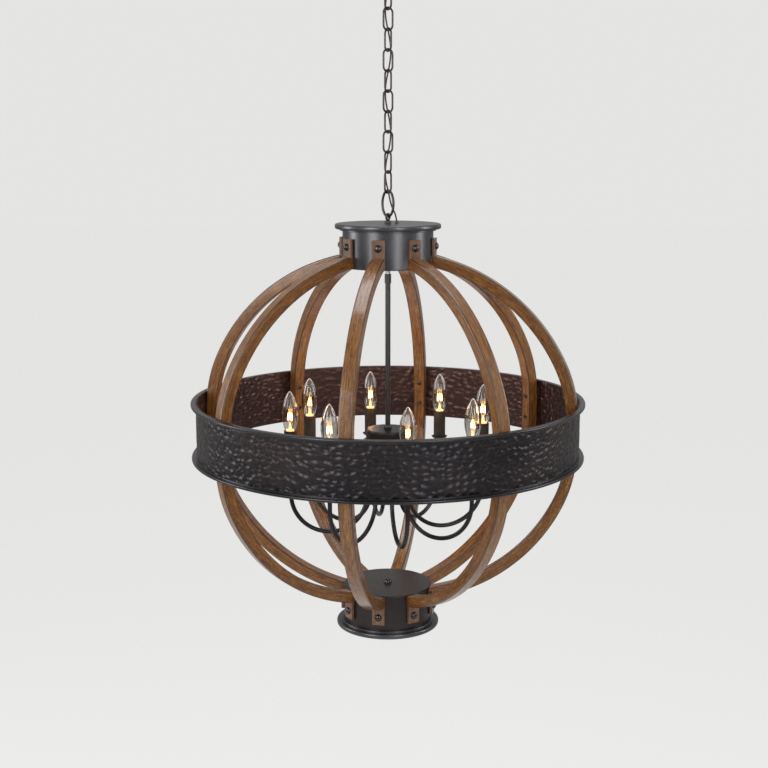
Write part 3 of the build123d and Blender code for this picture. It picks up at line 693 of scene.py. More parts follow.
sleeve_paint = plain_moulding("candle sleeve", (0.016, 0.011, 0.009), (0.032, 0.023, 0.019), (0.38, 0.5), 60)
socket_paint = plain_moulding("socket", (0.03, 0.027, 0.025), (0.055, 0.05, 0.045), (0.5, 0.65))
bushing_paint = plain_moulding("bushing", (0.012, 0.012, 0.012), (0.024, 0.024, 0.024), (0.3, 0.4))


def cord_sheath(threads_round=8, threads_per_metre=520):
    """A braided sheath: two sets of threads that cross on the tube's own UV map."""
    paint = Paint("cord sheath", roughness=0.7)
    around = paint.node("ShaderNodeSeparateXYZ", None, paint.node("ShaderNodeUVMap", {"uv_map": "run"}))
    along = Value(paint.tree, around.socket.node.outputs[1])
    rises = []
    for slant in (1, -1):
        thread = (around * threads_round + along * (slant * threads_per_metre)).math("FRACT")
        rises.append((thread - 0.5).math("ABSOLUTE"))
    tone = paint.spread(rises[0].math("MAXIMUM", rises[1]) * 2, 0.2, 1.0)
    paint.set(Base_Color=paint.mix(tone, (0.030, 0.018, 0.012), (0.105, 0.066, 0.043)))
    paint.relief(tone, 0.0003)
    return paint.material


cord_paint = cord_sheath()
print("three mouldings and a braided sheath")

# %% [markdown]
# The lamps are clear torpedo glasses round a filament. Real glass is a shell with two skins, so
# the mesh has both. The filament glows, and the glass mount under it glows a little as well: a
# painted glow for the filament's light on it.


# %% Glass and light
def clear_glass():
    paint = Paint("clear glass", roughness=0.02)
    paint.set(Base_Color=(1.0, 0.985, 0.96), Transmission_Weight=1.0, IOR=1.46)
    paint.relief(paint.noise(paint.place(), 60, 2), 0.00005)
    return paint.material


def glowing(name, colour, heat, cool):
    """A surface that glows, hotter in the middle of its noise."""
    paint = Paint(name, roughness=0.4)
    flicker = paint.spread(paint.noise(paint.place(), 300, 2), 0.3, 0.7)
    glow = paint.mix(flicker, cool, colour)
    paint.set(Base_Color=colour, Emission_Color=glow, Emission_Strength=heat)
    return paint.material


glass_paint = clear_glass()
filament_paint = glowing("hot filament", (1.0, 0.60, 0.18), 14.0, (1.0, 0.46, 0.10))
# the mount is no lamp: its glow is painted light from the filament
mount_glow_paint = glowing("lit glass mount", (1.0, 0.62, 0.26), 1.5, (0.95, 0.45, 0.14))
print("glass, filament and mount")


# %% Give the CAD nodes that stay as they are their finish
for material, names in (
    (steel_paint, "crossbar crossbar_nut canopy_nipple hub_nipple hub_nuts cluster_nut base_bolt"),
    (steel_paint, "top_rib_nuts bottom_rib_nuts arm_nuts"),
    (bushing_paint, "canopy_bushing hub_bushing"),
    (socket_paint, "lamp_sockets"),
):
    for node in names.split():
        nodes[node].data.materials.clear()
        nodes[node].data.materials.append(material)
print("hidden gear is plated steel")

# %% [markdown]
# ## Canopy, chain and ring
#
# The canopy is a spun cup. The chain's links are bent from wire and lie at right angles to each
# other, so a tree instances one link down a line and turns every second one. The top link swings
# by itself, so it is made apart from the rest, and so is the oval ring below the chain.

# %% Spin the canopy
canopy_low, canopy_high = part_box("canopy")
canopy_r = canopy_high.x
canopy_h = canopy_high.z - canopy_low.z
sheet_t = 0.0012
hole_r = 0.0048
canopy_outline = [
    (canopy_r, 0), (canopy_r, -canopy_h), (hole_r, -canopy_h), (hole_r, -canopy_h + sheet_t),
    (canopy_r - sheet_t, -canopy_h + sheet_t), (canopy_r - sheet_t, 0),
]
canopy_ease = [0.0004, 0.012, 0, 0, 0.0108, 0.0004]
spun(
    "canopy.spun", canopy_outline, canopy_ease, 160, hub_paint, "hanging_metal", "canopy", 10, "ceiling"
)


# %% Bend an eye for the chain to hang on
def joined(name, meshes, sharp=40):
    """One mesh from several."""
    work = bmesh.new()
    for mesh in meshes:
        work.from_mesh(mesh)
    return finish_mesh(work, name, sharp)


link_wire, link_length, link_width = 0.0037, 0.045, 0.024
chain_turn, last_turn = 34.0, 54.0
top_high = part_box("top_link")[1]
chain_low, chain_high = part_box("chain_links")
loop_low, loop_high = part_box("canopy_loop")
canopy_eye_wire, canopy_eye_r = 0.005, 0.009
canopy_eye_z = loop_low.z + canopy_eye_wire / 2 + canopy_eye_r
ring_nut_r, ring_nut_h = 0.012, 0.007
ring_nut_outline = block(hole_r, loop_high.z, ring_nut_r, loop_high.z - ring_nut_h)
ring_nut = turned("ring nut", eased(ring_nut_outline, [0, 0.0006, 0.002, 0]), 64)
canopy_eye = eye("canopy eye", canopy_eye_z, canopy_eye_wire, chain_turn - 90, canopy_eye_r, canopy_eye_r)
loop_mesh = joined("canopy loop", [ring_nut, canopy_eye])
stand_in("canopy.loop", loop_mesh, chain_paint, "hanging_metal", "canopy_loop", "ceiling")

# %% Bend one link
link_end_r = (link_width - link_wire) / 2
link_span = link_length - link_wire
link_line = arc((0, -link_end_r), link_end_r, 180, 0, 16)
link_line += arc((0, link_end_r - link_span), link_end_r, 0, -180, 16)
link_mesh = tube("link", upright(link_line), link_wire / 2, 14, closed=True)
print("a link is", round(link_length * 1000), "mm long")

# %% Build the tree that strings the links
chain_tree, given = start_tree(
    "string links", Link="Object", Links="Int", Top="Vector", Pitch="Float", First_Turn="Float",
    Last_Turn="Float", Material="Material",
)
drop = add_node(chain_tree, "ShaderNodeCombineXYZ", None, 0.0, 0.0, -1 * given["Pitch"])
string = add_node(
    chain_tree, "GeometryNodeMeshLine", None,
    Count=given["Links"], Start_Location=given["Top"], Offset=drop,
)
index = add_node(chain_tree, "GeometryNodeInputIndex")
is_last = index > given["Links"] - 1.5
straight = given["First_Turn"] + index.math("MODULO", 2.0) * (pi / 2)
turn = straight * (1 - is_last) + given["Last_Turn"] * is_last
close_tree(chain_tree, copies_of(chain_tree, given["Link"], string, turn), index, given["Material"])

# %% String the chain
top_wire_z = top_high.z - link_wire / 2
next_wire_z = chain_high.z - link_wire / 2
link_pitch = top_wire_z - next_wire_z
lower_links = round((next_wire_z - chain_low.z) / link_pitch)
link_pattern = new_object("link pattern", link_mesh)
for name, count, top, first, last, body, replaced in (
    ("chain.top_link", 1, top_wire_z, chain_turn, chain_turn, "top_link", "top_link"),
    ("chain.links", lower_links, next_wire_z, chain_turn - 90, last_turn, "chain", "chain_links"),
):
    links = grow(
        name, chain_tree, Link=link_pattern, Links=count, Top=(0, 0, top), Pitch=link_pitch,
        First_Turn=radians(first), Last_Turn=radians(last), Material=chain_paint,
    )
    dressed(links, body, "hanging_metal", replaced)
bpy.data.objects.remove(link_pattern)

# %% Bend the oval ring and the hub's eye
ring_low, ring_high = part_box("hang_ring")
ring_wire = 0.0048
ring_rise = (ring_high.z - ring_low.z - ring_wire) / 2
ring_reach = (0.0305 - ring_wire) / 2
ring_mid = (ring_high.z + ring_low.z) / 2
ring_mesh = eye("oval ring", ring_mid, ring_wire, last_turn - 90, ring_reach, ring_rise, 64, 16)
stand_in("chain.ring", ring_mesh, chain_paint, "hanging_metal", "hang_ring", "ring")

plate_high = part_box("top_plate")[1]
hub_top = plate_high.z
eye_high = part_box("hub_loop")[1]
hub_eye_wire = 0.0044
hub_eye_r = 0.0056
hub_eye_z = eye_high.z - hub_eye_wire / 2 - hub_eye_r
hub_collar_r, hub_collar_h = 0.0065, 0.0052
hub_collar_outline = block(0, hub_top, hub_collar_r, hub_top + hub_collar_h)
hub_collar = turned("collar", eased(hub_collar_outline, [0, 0.0005, 0.0014, 0]), 48)
hub_eye = eye("hub eye", hub_eye_z, hub_eye_wire, last_turn, hub_eye_r, hub_eye_r)
stand_in("hub.loop", joined("hub loop", [hub_collar, hub_eye]), chain_paint, "hanging_metal", "hub_loop")

# %% [markdown]
# ## Supply cord
#
# The thin brown cord leaves a bushing in the canopy, winds down through the links and ends in a
# bushing on the top plate. Its route is a list of points (plan angle, reach, height), and a
# NURBS spline on them is its line. It crosses four joints, so the tube is made in four lengths,
# each over one joint.

# %% Lay out the cord's route
cord_d = 0.003
weave_r = 0.0055
weave_turn = 79.0
bushing_reach = 0.018
canopy_bushing_turn = 100.0
hub_bushing_turn = 20.0
flange_h = 0.0015
play = 0.0003
chain_end_z = chain_low.z + link_wire / 2
ring_eye_z = (chain_end_z + ring_high.z - ring_wire / 2) / 2
weave_top = top_wire_z - link_pitch
cord_route = [
    (canopy_bushing_turn, bushing_reach, -canopy_h - flange_h - play),
    (canopy_bushing_turn - 1, bushing_reach + 0.0006, -canopy_h - 0.017),
    (canopy_bushing_turn - 6, bushing_reach - 0.004, -canopy_h - 0.032),
    (canopy_bushing_turn - 14, bushing_reach - 0.0095, -canopy_h - 0.045),
]
for i in range(2 * lower_links - 1):
    cord_route.append((weave_turn + 45 * i, weave_r, weave_top - i * link_pitch / 2))
cord_route += [
    (last_turn + 170, weave_r, chain_end_z + link_span / 2),
    (last_turn + 225, weave_r + 0.0008, ring_eye_z),
    (last_turn + 272, weave_r - 0.001, ring_eye_z - 0.016),
    (last_turn + 315, weave_r + 0.003, ring_eye_z - 0.031),
    (hub_bushing_turn - 2, bushing_reach - 0.0018, ring_eye_z - 0.045),
    (hub_bushing_turn, bushing_reach, hub_top + flange_h + 1.5 * play),
]
print(len(cord_route), "points on the cord's route")


# %% Read the spline's line
def spline_line(name, points):
    """The line of a NURBS spline on these points, as Blender draws it."""
    curve = bpy.data.curves.new(name, "CURVE")
    curve.dimensions = "3D"
    curve.resolution_u = 10
    spline = curve.splines.new("NURBS")
    spline.points.add(len(points) - 1)
    for point, place in zip(spline.points, points):
        point.co = (*place, 1)
    spline.order_u = 3
    spline.use_endpoint_u = True
    obj = new_object(name, curve)
    line = [vertex.co.copy() for vertex in plain_mesh(obj).vertices]
    bpy.data.objects.remove(obj)
    return line


cord_line = spline_line(
    "cord route", [(r * cos(radians(t)), r * sin(radians(t)), z) for t, r, z in cord_route]
)
cord_length = sum((b - a).length for a, b in zip(cord_line, cord_line[1:]))
print("the cord is", round(cord_length * 1000), "mm long")

# %% Cut the cord where one joint's share ends
pivots = [joints[name].z for name in ("top_link_swing", "chain_swing", "ring_swing", "globe_swing")]
cuts = [(pivots[0] + pivots[1]) / 2 + 0.002, pivots[1] - 0.022, (pivots[2] + pivots[3]) / 2]
lengths = [[cord_line[0]]]
for point in cord_line[1:]:
    lengths[-1].append(point)
    if len(lengths) <= len(cuts) and point.z < cuts[len(lengths) - 1]:
        lengths.append([point])
spans = [
    ("ceiling", "top_link", pivots[0] + 0.02, pivots[0] - 0.014),
    ("top_link", "chain", pivots[1] + 0.014, pivots[1] - 0.018),
    ("chain", "ring", pivots[2] + 0.018, pivots[2] - 0.018),
    ("ring", "fixture", pivots[3] + 0.02, pivots[3] - 0.008),
]
for number, (points, (upper, lower, start, end)) in enumerate(zip(lengths, spans), 1):
    length = new_object(f"cord.length_{number}", tube(f"cord {number}", points, cord_d / 2, 12), cord_paint)
    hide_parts("supply_cord")
    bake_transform(length)
    tuple(points[0])
    sum((b - a).length for a, b in zip(points, points[1:]))
    [tuple(point) for point in points]
    print("length", number, "bends from", upper, "to", lower)

# %% [markdown]
# ## Hubs
#
# Each hub is a spun drum closed by a heavy round plate with a stepped, rounded edge. The lower
# hub is the upper one turned over, with a plain cap that looks up into the globe.

# %% Spin the plates and the drums
plate_r = plate_high.x
plate_t = 0.010
step_r = 0.092
step_h = 0.003
drum_low, drum_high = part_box("top_drum")
drum_r = drum_high.x
drum_t = 0.0015
cap_low, cap_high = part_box("bottom_drum")
base_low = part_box("bottom_plate")[0]


def plate_outline(face_z, inwards):
    """The plate's outline, from its outer face towards the drum (inwards is -1 or 1)."""
    edge_z = face_z + inwards * plate_t
    step_z = edge_z + inwards * step_h
    plate = [(0, face_z), (plate_r, face_z), (plate_r, edge_z)]
    return plate + [(step_r, edge_z), (step_r, step_z), (0, step_z)]


def drum_outline(open_z, cap_z):
    """The drum's outline: a wall and a cap with a soft corner between them."""
    under = cap_z + (drum_t if cap_z < open_z else -drum_t)
    inner_r = drum_r - drum_t
    return [(drum_r, open_z), (drum_r, cap_z), (0, cap_z), (0, under), (inner_r, under), (inner_r, open_z)]


plate_ease = [0, 0.0046, 0.0046, 0.0006, 0.0026, 0]
drum_ease = [0, 0.002, 0, 0, 0.0008, 0]
for replaced, outline, ease, material in (
    ("top_plate", plate_outline(hub_top, -1), plate_ease, hub_paint),
    ("bottom_plate", plate_outline(base_low.z, 1), plate_ease, hub_paint),
    ("top_drum", drum_outline(drum_high.z, drum_low.z), drum_ease, hub_paint),
    ("bottom_drum", drum_outline(cap_low.z, cap_high.z), drum_ease, cap_paint),
):
    spun("hub." + replaced, outline, ease, 192, material, "hub_metal", replaced, 6)

# %% Turn the dome nut on the cap
dome_low, dome_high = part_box("dome_nut")
dome_r = dome_high.x
dome_base = dome_low.z + 0.0008
dome_h = dome_high.z - dome_base
dome_outline = [(0, dome_low.z), (dome_r, dome_low.z)]
dome_outline += [(dome_r * cos(radians(a)), dome_base + dome_h * sin(radians(a))) for a in range(0, 91, 9)]
stand_in("hub.dome_nut", turned("dome nut", dome_outline, 48), screw_paint, "hub_metal", "dome_nut")

# %% [markdown]
# ## Ribs
#
# A rib is steam-bent or laminated stock, straight where the band crosses it, then bowed in two
# arcs to the hub. Its section is a rectangle with moulded edges. The mesh is that section carried
# along the bow, and each point keeps where it is in the stock, for the grain, and how near it is
# to the middle of a moulded edge, for a darker tone there.

# %% Draw the rib's bow
orb_z = (base_low.z + hub_top) / 2
rib_turn = 33.3
rib_w = 0.025
rib_t = 0.022
rib_ease = 0.0028
rib_straight = 0.050
flank_r = 0.266
flank_turn = 25.0
tab_t = 0.006
tab_rise = 0.035
shoulder_drop = 0.0502
band_r = band_high.x
band_wall = 0.0025
rib_face = sqrt((band_r - band_wall) ** 2 - (rib_w / 2) ** 2) - 0.00005
flank_centre = (rib_face - flank_r, rib_straight / 2)
flank_end = arc(flank_centre, flank_r, 0, flank_turn, 1)[-1]
shoulder = Vector((drum_r + tab_t, hub_top - plate_t - shoulder_drop - orb_z))
inwards = Vector((-cos(radians(flank_turn)), -sin(radians(flank_turn))))
gap = flank_end - shoulder
crown_r = -gap.length_squared / (2 * inwards.dot(gap))
crown_centre = flank_end + inwards * crown_r
crown_overlap = 1.8
crown_end = degrees(asin(((shoulder - crown_centre).y) / crown_r)) + crown_overlap
upper_half = [Vector((rib_face, rib_straight / 2 * k / 3)) for k in range(3)]
upper_half += arc(flank_centre, flank_r, 0, flank_turn, 14)[:-1]
upper_half += arc(crown_centre, crown_r, flank_turn, crown_end, 30)
rib_line = [Vector((p.x, -p.y)) for p in reversed(upper_half[1:])] + upper_half
print("crown radius", round(crown_r * 1000), "mm,", len(rib_line), "sections")


# %% Carry the section along the bow
def rib_section():
    """(across, depth, nearness to an edge) round the rib's section."""
    points = []
    for point in eased(block(-rib_w / 2, 0, rib_w / 2, rib_t), rib_ease, 5):
        near = abs(abs(point.x) - rib_w / 2) + min(point.y, rib_t - point.y)
        points.append((*point, max(0.0, min(1.0, 2 * (1 - near / rib_ease)))))
    return points


def stock(name, line, section):
    """A bar of wood along a line in the upright plane, with grain and edge attributes."""
    work = bmesh.new()
    grain = work.verts.layers.float_vector.new("grain")
    edge = work.verts.layers.float.new("edge")
    along, rings = 0.0, []
    for i, point in enumerate(line):
        ahead = line[min(i + 1, len(line) - 1)] - line[max(i - 1, 0)]
        ahead.normalize()
        out = Vector((ahead.y, -ahead.x))
        if i:
            along += (point - line[i - 1]).length
        ring = []
        for across, depth, nearness in section:
            place = point - out * depth
            vertex = work.verts.new((place.x, across, place.y + orb_z))
            vertex[grain] = (along, across, depth)
            vertex[edge] = nearness
            ring.append(vertex)
        rings.append(ring)
    bridge(work, rings, closed=False)
    work.faces.new(rings[0])
    work.faces.new(rings[-1])
    return finish_mesh(work, name, 50)


rib_mesh = stock("rib", rib_line, rib_section())
print(len(rib_mesh.polygons), "faces in one rib")

# %% Cut the tabs that stand against the drum
tab_edge = 0.003
tab_section = []
for x, y in eased(block(-rib_w / 2, 0, rib_w / 2, tab_t), 0.0010, 3):
    near = min(abs(abs(x) - rib_w / 2), tab_edge) + min(y, tab_t - y, tab_edge)
    tab_section.append((x, y, max(0.0, 1 - near / tab_edge)))
tab_top = shoulder.y + tab_rise
tab_heights = [tab_top - 0.0012, tab_top - 0.002, shoulder.y + 0.02, shoulder.y - 0.014]
tab_upper = stock("tab upper", [Vector((shoulder.x, z)) for z in reversed(tab_heights)], tab_section)
tab_lower = stock("tab lower", [Vector((shoulder.x, -z)) for z in tab_heights], tab_section)
rib_nodes = [f"rib_{number}" for number in range(1, copies + 1)]
set_out("ribs.bowed", rib_mesh, rib_turn, rib_wood, "wood", *rib_nodes)
set_out("ribs.tabs", joined("tabs", [tab_upper, tab_lower], 50), rib_turn, tab_wood, "wood", *rib_nodes)


# %% Turn the screws
def screw(name, radius, height, shank_r, shank, place, outwards):
    """A screw along the radius, its domed head at place (reach, height) facing outwards or inwards."""
    flank_h = height * 0.12
    outline = block(0, -shank, shank_r, 0)[:3] + [(radius, 0), (radius, flank_h)]
    outline += [
        (radius * cos(radians(a)) * 0.98, flank_h + (height - flank_h) * sin(radians(a)))
        for a in range(8, 90, 9)
    ]
    mesh = turned(name, outline + [(0, height)], 32, sharp=50)
    mesh.transform(Matrix.Rotation(outwards * pi / 2, 4, "Y"))
    mesh.transform(Matrix.Translation((place[0], 0, place[1])))
    return mesh


screw_low, screw_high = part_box("top_rib_screws")
rib_screw_z = (screw_low.z + screw_high.z) / 2 - orb_z
band_screw_z = 0.022
head_face = shoulder.x + 0.00005
inner_face = rib_face - rib_t - 0.00015
tab_screws, band_screws = [], []
for side in (1, -1):
    head = (head_face, orb_z + side * rib_screw_z)
    tab_screws.append(screw("tab screw", 0.007, 0.0055, 0.0025, 0.0125, head, 1))
    head = (inner_face, band_z + side * band_screw_z)
    band_screws.append(screw("band screw", 0.0045, 0.0024, 0.002, 0.022, head, -1))
for name, meshes, replaced in (
    ("screws.tabs", tab_screws, ("top_rib_screws", "bottom_rib_screws")),
    ("screws.band", band_screws, ("band_screws",)),
):
    set_out(name, joined(name, meshes, 50), rib_turn, screw_paint, "black_screws", *replaced)

# %% [markdown]
# ## Hammered band
#
# The band is sheet that was hammered all over and rolled into a hoop, with a seam where its ends
# meet. A hammer leaves shallow pits that crowd together, which is what Voronoi cells look like:
# the tree below sinks each point of a fine wall by its distance from the nearest cell's middle.
# Both skins sink towards the rod alike, so the sheet keeps its thickness.

# %% Draw the wall
seam_turn = -100.0
wall_columns, wall_rows = 960, 50
band_top, band_base = band_high.z, band_low.z
band_h = band_top - band_base
wall_work = bmesh.new()
wall_work.loops.layers.uv.new("wall")
inside_layer = wall_work.verts.layers.float.new("inside")
turns = whole_turn(wall_columns, radians(seam_turn))
up_wall = [band_h * k / wall_rows for k in range(wall_rows + 1)]
down_wall = up_wall[::-1]
rows = []
for skin, radius, heights in ((0, band_r, up_wall), (1, band_r - band_wall, down_wall)):
    for height in heights:
        places = [(radius * cos(turn), radius * sin(turn), band_base + height) for turn in turns]
        rows.append([wall_work.verts.new(place) for place in places])
        for vertex in rows[-1]:
            vertex[inside_layer] = skin
row_heights = up_wall + down_wall
per_column = 2 * pi * band_r / wall_columns
bridge(wall_work, rows, True, "wall", lambda k, i: (k * per_column, row_heights[i % len(rows)]))
wall_mesh = finish_mesh(wall_work, "band wall", 60)
print(len(wall_mesh.polygons), "faces in the wall")

# %% Build the tree that hammers it
pit_fade = 0.005
hammer_tree, given = start_tree(
    "hammer a wall", Wall="Object", Pit_Length="Float", Pit_Height="Float", Depth="Float",
    Wall_Height="Float", Wander="Float", Seed="Float", Material="Material",
)
place = add_node(hammer_tree, "GeometryNodeInputNamedAttribute", {"data_type": "FLOAT_VECTOR"}, Name="wall")
along = add_node(hammer_tree, "ShaderNodeSeparateXYZ", None, place)
up = Value(hammer_tree, along.socket.node.outputs[1])
wander = add_node(hammer_tree, "ShaderNodeTexNoise", None, Vector=place, Scale=wander_scale, Detail=1.0)
drift = (wander - 0.5) * given["Wander"]
cell_u, cell_v = along / given["Pit_Length"] + drift, up / given["Pit_Height"] + drift
away = add_node(
    hammer_tree, "ShaderNodeTexVoronoi", {"feature": "SMOOTH_F1", "voronoi_dimensions": "3D"},
    Vector=add_node(hammer_tree, "ShaderNodeCombineXYZ", None, cell_u, cell_v, given["Seed"]),
    Scale=1.0, Smoothness=0.02, Randomness=pit_scatter,
)
rise = add_node(hammer_tree, "ShaderNodeClamp", None, away * away * away * 2.8, 0.0, 1.0)
room = up.math("MINIMUM", given["Wall_Height"] - up)
fade = add_node(hammer_tree, "ShaderNodeClamp", None, room / pit_fade, 0.0, 1.0)
flat = add_node(hammer_tree, "GeometryNodeInputPosition").vector("MULTIPLY", (1, 1, 0))
sink = flat.vector("NORMALIZE").vector("SCALE", Scale=(rise - 1) * fade * given["Depth"])
wall = mesh_of(hammer_tree, given["Wall"])
sunk = add_node(hammer_tree, "GeometryNodeSetPosition", None, Geometry=wall, Offset=sink)
close_tree(hammer_tree, sunk, 0.0, given["Material"])

# %% Hammer the band
pit_depth = 0.0007
wall_pattern = new_object("wall pattern", wall_mesh)
band = grow(
    "band.hammered", hammer_tree, Wall=wall_pattern, Pit_Length=pit_length, Pit_Height=pit_height,
    Depth=pit_depth, Wall_Height=band_h, Wander=pit_wander, Seed=pit_seed, Material=hammered_paint,
)
bpy.data.objects.remove(wall_pattern)
dressed(band, "fixture", "hammered_band", "band")

# %% Roll the rims
rim_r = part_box("band_top_rim")[1].x
rim_t, bead = 0.0055, 0.0024
seat_r, bead_r = band_r - 0.0004, band_r + bead
rim_ease = [0, 0.0024, 0.0024, 0.0003, 0.0009, 0]
for name, top, inwards in (("top_rim", band_top, -1), ("bottom_rim", band_base, 1)):
    under, foot = top + inwards * rim_t, top + inwards * (rim_t + bead)
    rim_outline = [(seat_r, top), (rim_r, top), (rim_r, under)]
    rim_outline += [(bead_r, under), (bead_r, foot), (seat_r, foot)]
    spun("band." + name, rim_outline, rim_ease, 256, rim_paint, "hammered_band", "band_" + name, 5)

# %% [markdown]
# ## Rod and cluster
#
# A coupler joins the rod to the hub's threaded tube. At its foot a shallow cover and a base
# carry the arms, which drop, swing out and rise to their dishes in one smooth bend of tube.

# %% Turn the rod, the coupler and the collar
stem_low, stem_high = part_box("stem")
coupler_low, coupler_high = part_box("stem_coupler")
collar_low, collar_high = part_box("stem_collar")
cover_low, cover_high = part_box("cluster_cover")
plinth_low, plinth_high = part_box("cluster_base")
stem_r = stem_high.x
for name, low, high, ease, replaced in (
    ("rod.tube", stem_low, stem_high, 0.0004, "stem"),
    ("rod.coupler", coupler_low, coupler_high, 0.001, "stem_coupler"),
):
    outline = block(0, low.z, high.x, high.z)
    spun(name, outline, [0, ease, ease, 0], 64, rod_paint, "frame_metal", replaced)
collar_r = collar_high.x
collar_outline = [
    (0, collar_low.z), (collar_r, collar_low.z), (collar_r, collar_low.z + 0.003),
    (collar_r - 0.0018, collar_high.z), (0, collar_high.z),
]
collar_ease = [0, 0.0004, 0.0004, 0.0004, 0]
spun("rod.collar", collar_outline, collar_ease, 64, arm_paint, "frame_metal", "stem_collar")

# %% Spin the cover and the base
cover_r = cover_high.x
inner_r, under = cover_r - sheet_t, cover_high.z - sheet_t
cover_outline = [
    (stem_r, cover_high.z), (cover_r, cover_high.z), (cover_r, cover_low.z), (inner_r, cover_low.z),
    (inner_r, under), (stem_r, under),
]
cover_ease = [0, 0.004, 0.0003, 0.0003, 0.0028, 0]
spun("cluster.cover", cover_outline, cover_ease, 128, arm_paint, "frame_metal", "cluster_cover", 6)
base_outline = block(0, plinth_low.z, plinth_high.x, plinth_high.z)
spun("cluster.base", base_outline, [0, 0.0012, 0.0012, 0], 128, arm_paint, "frame_metal", "cluster_base", 5)

# %% Bend the arms
arm_d = 0.0085
arm_root_r = 0.034
arm_low_r = 0.112
arm_bend_r = 0.070
light_turn = 55.8
light_r = 0.192
arm_low, arm_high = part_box("arm_1")
dish_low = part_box("candle_dishes")[0]
arm_low_z = arm_low.z + arm_d / 2
arm_end_z = dish_low.z + sheet_t + 0.008
top_bend = Vector((arm_root_r + arm_bend_r, plinth_low.z - 0.004))
low_bend = Vector((arm_low_r, arm_low_z + arm_bend_r))
leg = low_bend - top_bend
leg_turn = degrees(atan2(leg.y, leg.x))
outer_bend_r = light_r - arm_low_r
arm_line = [Vector((arm_root_r, arm_high.z))]
arm_line += arc(top_bend, arm_bend_r, 180, 270 + leg_turn, 6)
arm_line += arc(low_bend, arm_bend_r, 270 + leg_turn, 270, 24)[:-1]
arm_line += arc((arm_low_r, arm_low_z + outer_bend_r), outer_bend_r, 270, 360, 28)
arm_line.append(Vector((light_r, arm_end_z)))
arm_mesh = tube("arm", upright(arm_line), arm_d / 2, 16)
arm_names = [f"arm_{number}" for number in range(1, copies + 1)]
set_out("cluster.arms", arm_mesh, light_turn, arm_paint, "frame_metal", *arm_names)

# %% [markdown]
# ## Candles and lamps
#
# Each arm carries a small pan, a candle sleeve over the socket, and a clear lamp. The lamp's
# glass bulges from a narrow mouth to a belly and closes to a fine tip. Its outline is two arcs
# and a small round end, and a second skin inside it makes the shell.

# %% Spin the pans and the sleeves
dish_z = dish_low.z
dish_r = 0.0165
sleeve_low, sleeve_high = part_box("candle_sleeves")
sleeve_r = 0.012
candle_z = sleeve_high.z
dish_outline = [
    (0.0044, dish_z), (0.0132, dish_z), (dish_r, dish_z + 0.004), (dish_r - sheet_t, dish_z + 0.004),
    (0.0126, dish_z + sheet_t), (0.0044, dish_z + sheet_t),
]
at_light = (light_r, 0)
dish_mesh = turned("pan", eased(dish_outline, [0, 0.0015, 0.0004, 0.0004, 0.0012, 0]), 48, at_light)
set_out("candles.pans", dish_mesh, light_turn, arm_paint, "frame_metal", "candle_dishes")
sleeve_outline = block(sleeve_r - sheet_t, sleeve_low.z, sleeve_r, candle_z)
sleeve_mesh = turned("sleeve", eased(sleeve_outline, [0.0002, 0.0003, 0.0005, 0.0004]), 48, at_light)
set_out("candles.sleeves", sleeve_mesh, light_turn, sleeve_paint, "candle_sleeve", "candle_sleeves")

# %% Blow the glasses
glass_low, glass_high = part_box("bulb_glasses")
belly_r = 0.016
belly_z = candle_z + 0.033
mouth_r = 0.0095
neck_r = 0.0065
neck_z = glass_low.z
tip_r = 0.003
tip_z = glass_high.z


def glass_profile(thin):
    """(radius, height) points up the glass, thinner than its outside by this much."""
    belly, mouth, tip = belly_r - thin, mouth_r - thin, tip_r - 0.6 * thin
    top = tip_z - thin
    lower_r = ((belly - mouth) ** 2 + (belly_z - candle_z) ** 2) / (2 * (belly - mouth))
    rise = top - tip - belly_z
    upper_r = (belly**2 + rise**2 - tip**2) / (2 * (belly - tip))
    points = [(neck_r - thin, neck_z), (neck_r - thin + 0.0004, neck_z + 0.003)]
    lower_turn = degrees(asin((belly_z - candle_z) / lower_r))
    points += [tuple(p) for p in arc((belly - lower_r, belly_z), lower_r, -lower_turn, 0, 12)[:-1]]
    upper_turn = degrees(atan2(rise, upper_r - belly))
    points += [tuple(p) for p in arc((belly - upper_r, belly_z), upper_r, 0, upper_turn, 18)]
    points += [tuple(p) for p in arc((0, belly_z + rise), tip, upper_turn, 90, 6)[1:-1]]
    return points + [(0.0, top)]


glass_t = 0.0012
glass_mesh = turned("glass", glass_profile(0.0) + glass_profile(glass_t)[::-1], 40, at_light, sharp=80)
set_out("lamps.glasses", glass_mesh, light_turn, glass_paint, "bulb_glass", "bulb_glasses")

# %% Turn the screw caps
cap_low, cap_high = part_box("bulb_caps")
cap_r, thread_depth, thread_turns = 0.006, 0.0007, 5
thread_low = cap_low.z + 0.0055
thread_pitch = (cap_high.z - 0.001 - thread_low) / thread_turns
cap_outline = [(0, cap_low.z), (0.003, cap_low.z), (0.0052, cap_low.z + 0.004)]
for k in range(4 * thread_turns):
    trough = (1.0, 0.5, 0.0, 0.5)[k % 4]
    cap_outline.append((cap_r - thread_depth * trough, thread_low + thread_pitch * k / 4))
cap_outline += [(cap_r, cap_high.z - 0.0006), (cap_r, cap_high.z), (0, cap_high.z)]
cap_mesh = turned("screw cap", cap_outline, 40, at_light, sharp=70)
set_out("lamps.caps", cap_mesh, light_turn, brass_paint, "bulb_cap", "bulb_caps")

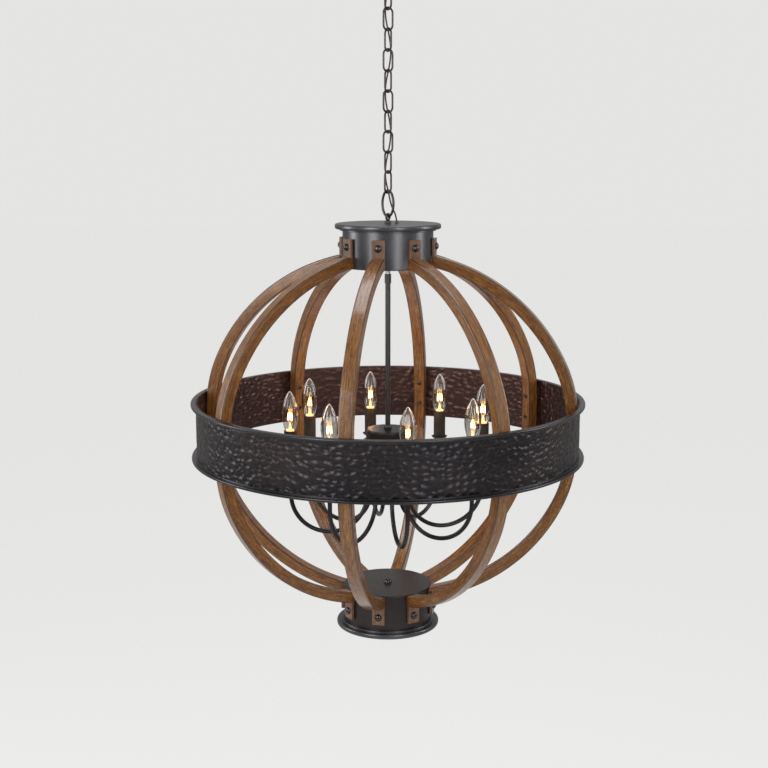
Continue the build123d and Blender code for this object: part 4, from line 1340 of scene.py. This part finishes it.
# %% Hang the filaments
mount_outline = [
    (0, candle_z - 0.001), (mouth_r - 0.0014, candle_z - 0.001), (mouth_r - 0.0012, candle_z + 0.0016),
    (0.0034, candle_z + 0.0030), (0.0020, candle_z + 0.010), (0.0014, candle_z + 0.014),
    (0, candle_z + 0.015),
]
mount_ease = [0, 0.0004, 0.0006, 0.002, 0.003, 0.0008, 0]
mount_mesh = turned("glass mount", eased(mount_outline, mount_ease), 24, at_light)
filament_low = candle_z + 0.021
filament_rise, filament_spread = 0.015, 0.0046
folds, bits = 5, 12
zigzag = []
for k in range(bits * folds + 1):
    share = k / (bits * folds)
    swing = 2 * share - 1
    lift = (0.5 - 0.5 * cos(2 * pi * folds * share)) * (1 - 0.45 * swing * swing)
    x, y = light_r + filament_spread * swing, 0.8 * filament_spread * sin(2 * pi * share)
    zigzag.append((x, y, filament_low + filament_rise * lift))
filament_mesh = tube("filament", zigzag, 0.0006, 6)
lead_low = candle_z + 0.012
parts = [mount_mesh]
for side in (-1, 1):
    bend = (light_r + side * 0.002, 0, lead_low + 0.005)
    end = (light_r + side * filament_spread, 0, filament_low)
    parts.append(tube("lead", [(light_r, 0, lead_low), bend, end], 0.0003, 6))
set_out("lamps.filaments", filament_mesh, light_turn, filament_paint, "filament", "bulb_filaments")
# the mounts glow with painted light from the filaments
set_out("lamps.mounts", joined("mounts", parts), light_turn, mount_glow_paint, "filament", "bulb_filaments")

# %% [markdown]
# ## Warm light
#
# The filaments are too small to light much by themselves, so a small warm lamp stands beside each
# glass, towards the rod. Rays of the camera, of gloss and through glass don't see it.

# %% Let the lamps warm what stands near them
warm_power, warm_size, warm_colour = 0.24, 0.006, (1.0, 0.64, 0.32)
warm_reach = light_r - belly_r - 0.009
for k in range(copies):
    turn = radians(light_turn) + 2 * pi * k / copies
    warmth = bpy.data.lights.new(f"warmth {k + 1}", "POINT")
    warmth.energy = warm_power
    warmth.shadow_soft_size = warm_size
    warmth.color = warm_colour
    beside = bpy.data.objects.new(warmth.name, warmth)
    beside.location = (warm_reach * cos(turn), warm_reach * sin(turn), belly_z)
    beside.visible_camera = beside.visible_glossy = beside.visible_transmission = False
    bpy.context.scene.collection.objects.link(beside)
print(copies, "small warm lamps stand beside the glasses")
